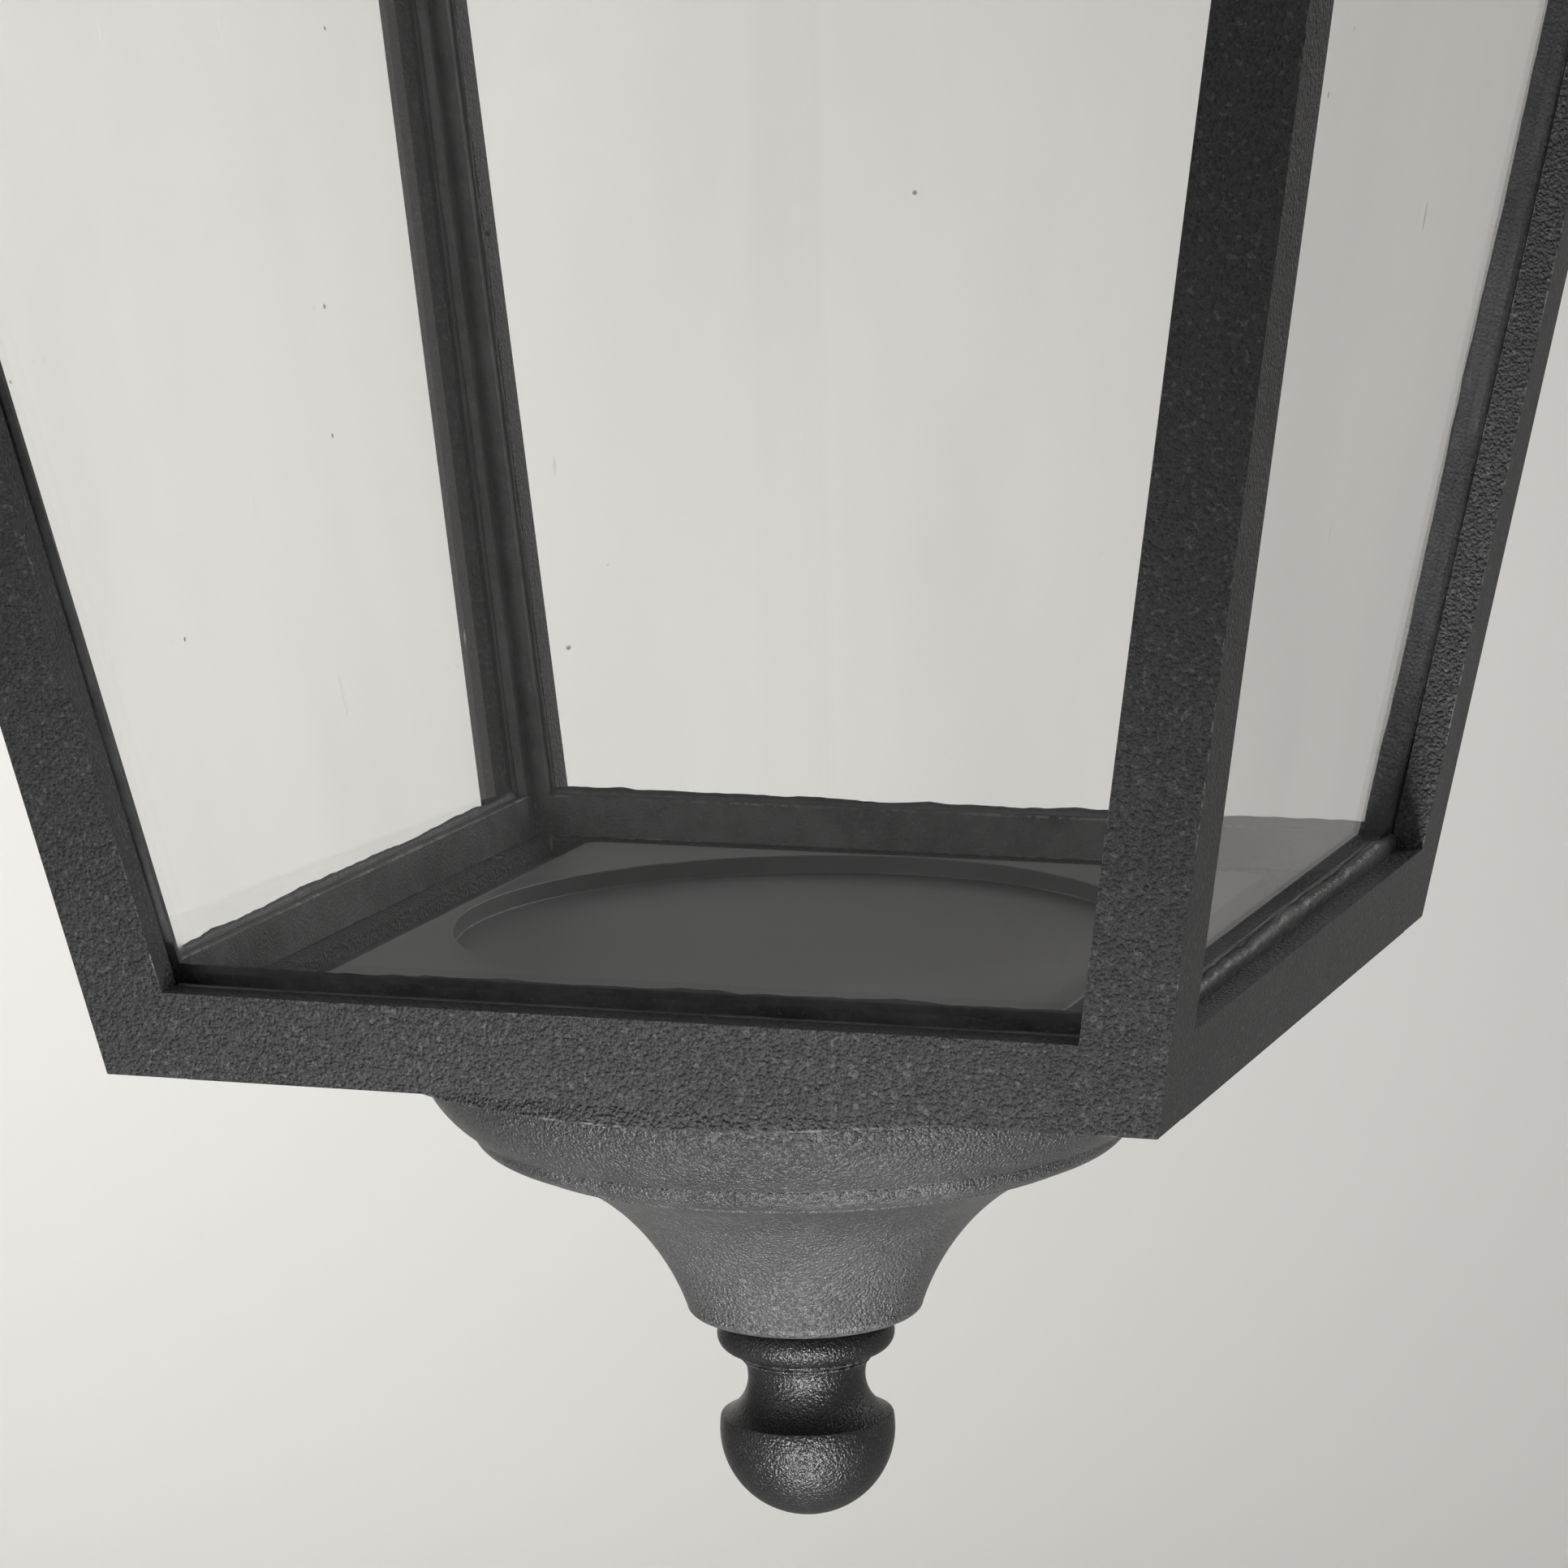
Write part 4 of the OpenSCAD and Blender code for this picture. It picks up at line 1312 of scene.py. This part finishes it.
@dataclass
class Suspension:
    """The chain, its two eyes and the ceiling fitting."""

    finishes: Finishes
    wire_r: float = 2.5 * MM
    end_r: float = 8 * MM
    side: float = 22 * MM
    bend_steps: int = 24
    side_steps: int = 14
    weld_at: float = 0.408
    upset: Point = (0.09, 0.012)
    seam: Point = (-0.05, 0.003)

    def link_path(self, low: float, across: Vector) -> list[Vector]:
        """Middle of the wire of a link.

        Args:
            low: height of the middle of its lower wire.
            across: direction of the link's width.

        Returns:
            Points of the closed path.
        """
        points = []
        lower = low + self.end_r
        for start, centre, hand in ((math.pi, lower, 1.0), (0.0, lower + self.side, -1.0)):
            for step in range(self.bend_steps):
                angle = start + math.pi * step / self.bend_steps
                reach, rise = math.cos(angle) * self.end_r, math.sin(angle) * self.end_r
                points.append(across * reach + Vector((0.0, 0.0, centre + rise)))
            for step in range(self.side_steps):
                rise = hand * self.side * step / self.side_steps
                points.append(across * hand * self.end_r + Vector((0.0, 0.0, centre + rise)))
        return points

    def weld(self, share: float) -> float:
        """Radius of a link's wire, with the upset of its weld in the middle of one side.

        Args:
            share: how far round the link, from its lower left.

        Returns:
            The radius.
        """
        gap = share - self.weld_at
        swell = sum(rise * math.exp(-((gap / width) ** 2)) for rise, width in (self.upset, self.seam))
        return self.wire_r * (1.0 + swell)

    def build(self) -> None:
        """Builds the links and dresses the eyes and the ceiling fitting."""
        along_x, along_y = Vector((1.0, 0.0, 0.0)), Vector((0.0, 1.0, 0.0))
        links = (Body.LINK_1, along_y), (Body.LINK_2, along_x), (Body.LINK_3, along_y)
        for body, across in links:
            node = f"chain_{body.value}"
            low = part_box(node)[0].z + self.wire_r
            wire = finish_mesh(f"{node}_wire", swept_ring(self.link_path(low, across), self.weld), 40.0)
            dress(wire, self.finishes.chain, body, "chain_steel", node)
        for node in ("hanging_eye", "ceiling_eye", "canopy_nut"):
            paint(node, self.finishes.finial)
        for node in ("cable_bush", "canopy_bush"):
            paint(node, self.finishes.rubber)
        paint("ceiling_canopy", self.finishes.frame)
        paint("ceiling_bracket", self.finishes.steel)


# ---------------------------------------------------------------------------- studio


@dataclass
class Studio:
    """The round floor that curves up into a wall, the lights and the camera."""

    cage: Cage
    floor_drop: float = 1.25
    wall_r: float = 5.2
    sweep_r: float = 1.6
    wall_h: float = 4.5
    sensor: float = 36.0
    focal: float = 133.62
    azimuth: float = 0.3395
    pitch: float = 0.1760
    roll: float = -0.0191
    eye: tuple[float, float, float] = (0.33643, -0.95881, 0.21832)

    def backdrop(self) -> None:
        """Builds the pale round floor and its curved wall."""
        low = self.cage.foot - self.floor_drop
        outline = [(0.0, low)]
        centre = (self.wall_r - self.sweep_r, low + self.sweep_r)
        outline += arc(centre, (self.sweep_r, self.sweep_r), -90, 0, 24)
        outline += [(self.wall_r, low + self.wall_h)]
        sheet = lathe("studio_sweep", outline, 128, 60.0)
        material, g, shader, _ = new_material("studio_paper")
        tone = g.noise(g.place(), 2.0, detail=1.0)
        g.feed(shader.inputs["Base Color"], g.mix(tone, (0.81, 0.795, 0.765, 1.0), (0.83, 0.815, 0.785, 1.0)))
        shader.inputs["Roughness"].default_value = 0.9
        sheet.data.materials.append(material)

    def light(
        self, name: str, place: Sequence[float], aim: Sequence[float],
        size: Point, watts: float, spread: float,
    ) -> None:
        """Adds a soft rectangular light.

        Args:
            name: the light's name.
            place: where it stands.
            aim: the point it faces.
            size: its width and height.
            watts: its power.
            spread: how wide it shines, in degrees.
        """
        data = bpy.data.lights.new(name, "AREA")
        data.shape = "RECTANGLE"
        data.size, data.size_y = size
        data.energy = watts
        data.spread = math.radians(spread)
        lamp = bpy.data.objects.new(name, data)
        lamp.location = place
        way = Vector(aim) - Vector(place)
        lamp.rotation_euler = way.to_track_quat("-Z", "Y").to_euler()
        lamp.visible_camera = False
        lamp.visible_transmission = False
        bpy.context.scene.collection.objects.link(lamp)

    def lights(self) -> None:
        """Sets the soft lights and the even light of the room."""
        foot = self.cage.foot
        middle = (0.0, 0.0, foot + 0.06)
        self.light("key", (-0.95, -1.6, foot + 0.55), middle, (0.9, 0.9), 0.55, 60.0)
        self.light("low_front", (-0.4, -1.0, foot - 0.5), (0.0, 0.0, foot - 0.06), (1.6, 0.7), 0.35, 120.0)
        self.light("low_near", (0.13, -0.48, foot - 0.42), (0.0, 0.0, foot - 0.1), (0.2, 0.16), 0.6, 48.0)
        self.light("behind", (1.3, 1.6, foot + 1.1), (0.0, 0.0, foot + 0.3), (0.9, 0.9), 1.2, 60.0)
        self.light("paper_left", (-3.6, 3.0, foot + 1.0), (-2.3, 4.7, foot + 0.1), (1.6, 1.6), 36.0, 120.0)
        self.light("paper_low", (-2.4, 1.8, foot + 0.8), (-1.6, 4.0, foot - 0.9), (1.6, 1.2), 9.0, 100.0)
        world = bpy.data.worlds.new("room")
        world.use_nodes = True
        sky = world.node_tree.nodes["Background"]
        sky.inputs["Color"].default_value = (0.97, 0.975, 1.0, 1.0)
        sky.inputs["Strength"].default_value = 0.24
        bpy.context.scene.world = world
        bpy.context.scene.view_settings.view_transform = "Standard"

    def camera(self) -> None:
        """Sets the camera."""
        ahead = Vector((
            -math.sin(self.azimuth) * math.cos(self.pitch),
            math.cos(self.azimuth) * math.cos(self.pitch),
            -math.sin(self.pitch),
        ))
        level = Vector((math.cos(self.azimuth), math.sin(self.azimuth), 0.0))
        upright = level.cross(ahead)
        right = math.cos(self.roll) * level + math.sin(self.roll) * upright
        above = -math.sin(self.roll) * level + math.cos(self.roll) * upright
        data = bpy.data.cameras.new("camera")
        data.sensor_width = self.sensor
        data.lens = self.focal
        camera = bpy.data.objects.new("camera", data)
        turn = Matrix((right, above, -ahead)).transposed().to_4x4()
        place = Vector(self.eye) + Vector((0.0, 0.0, self.cage.foot))
        camera.matrix_world = Matrix.Translation(place) @ turn
        bpy.context.scene.collection.objects.link(camera)
        bpy.context.scene.camera = camera

    def build(self) -> None:
        """Builds the studio."""
        self.camera()
        self.backdrop()
        self.lights()


def main() -> None:
    """Builds the lantern's looks and the studio."""
    logging.basicConfig(level=logging.INFO, format="%(name)s: %(message)s")
    finishes = Finishes()
    cage = Cage(finishes)
    Studio(cage).build()
    cage.build()
    Glazing(finishes, cage).build()
    Floor(finishes).build()
    TurnedBase(finishes, cage).build()
    Roof(finishes).build()
    Lamp(finishes, cage).build()
    Suspension(finishes).build()


if __name__ == "__main__":
    main()
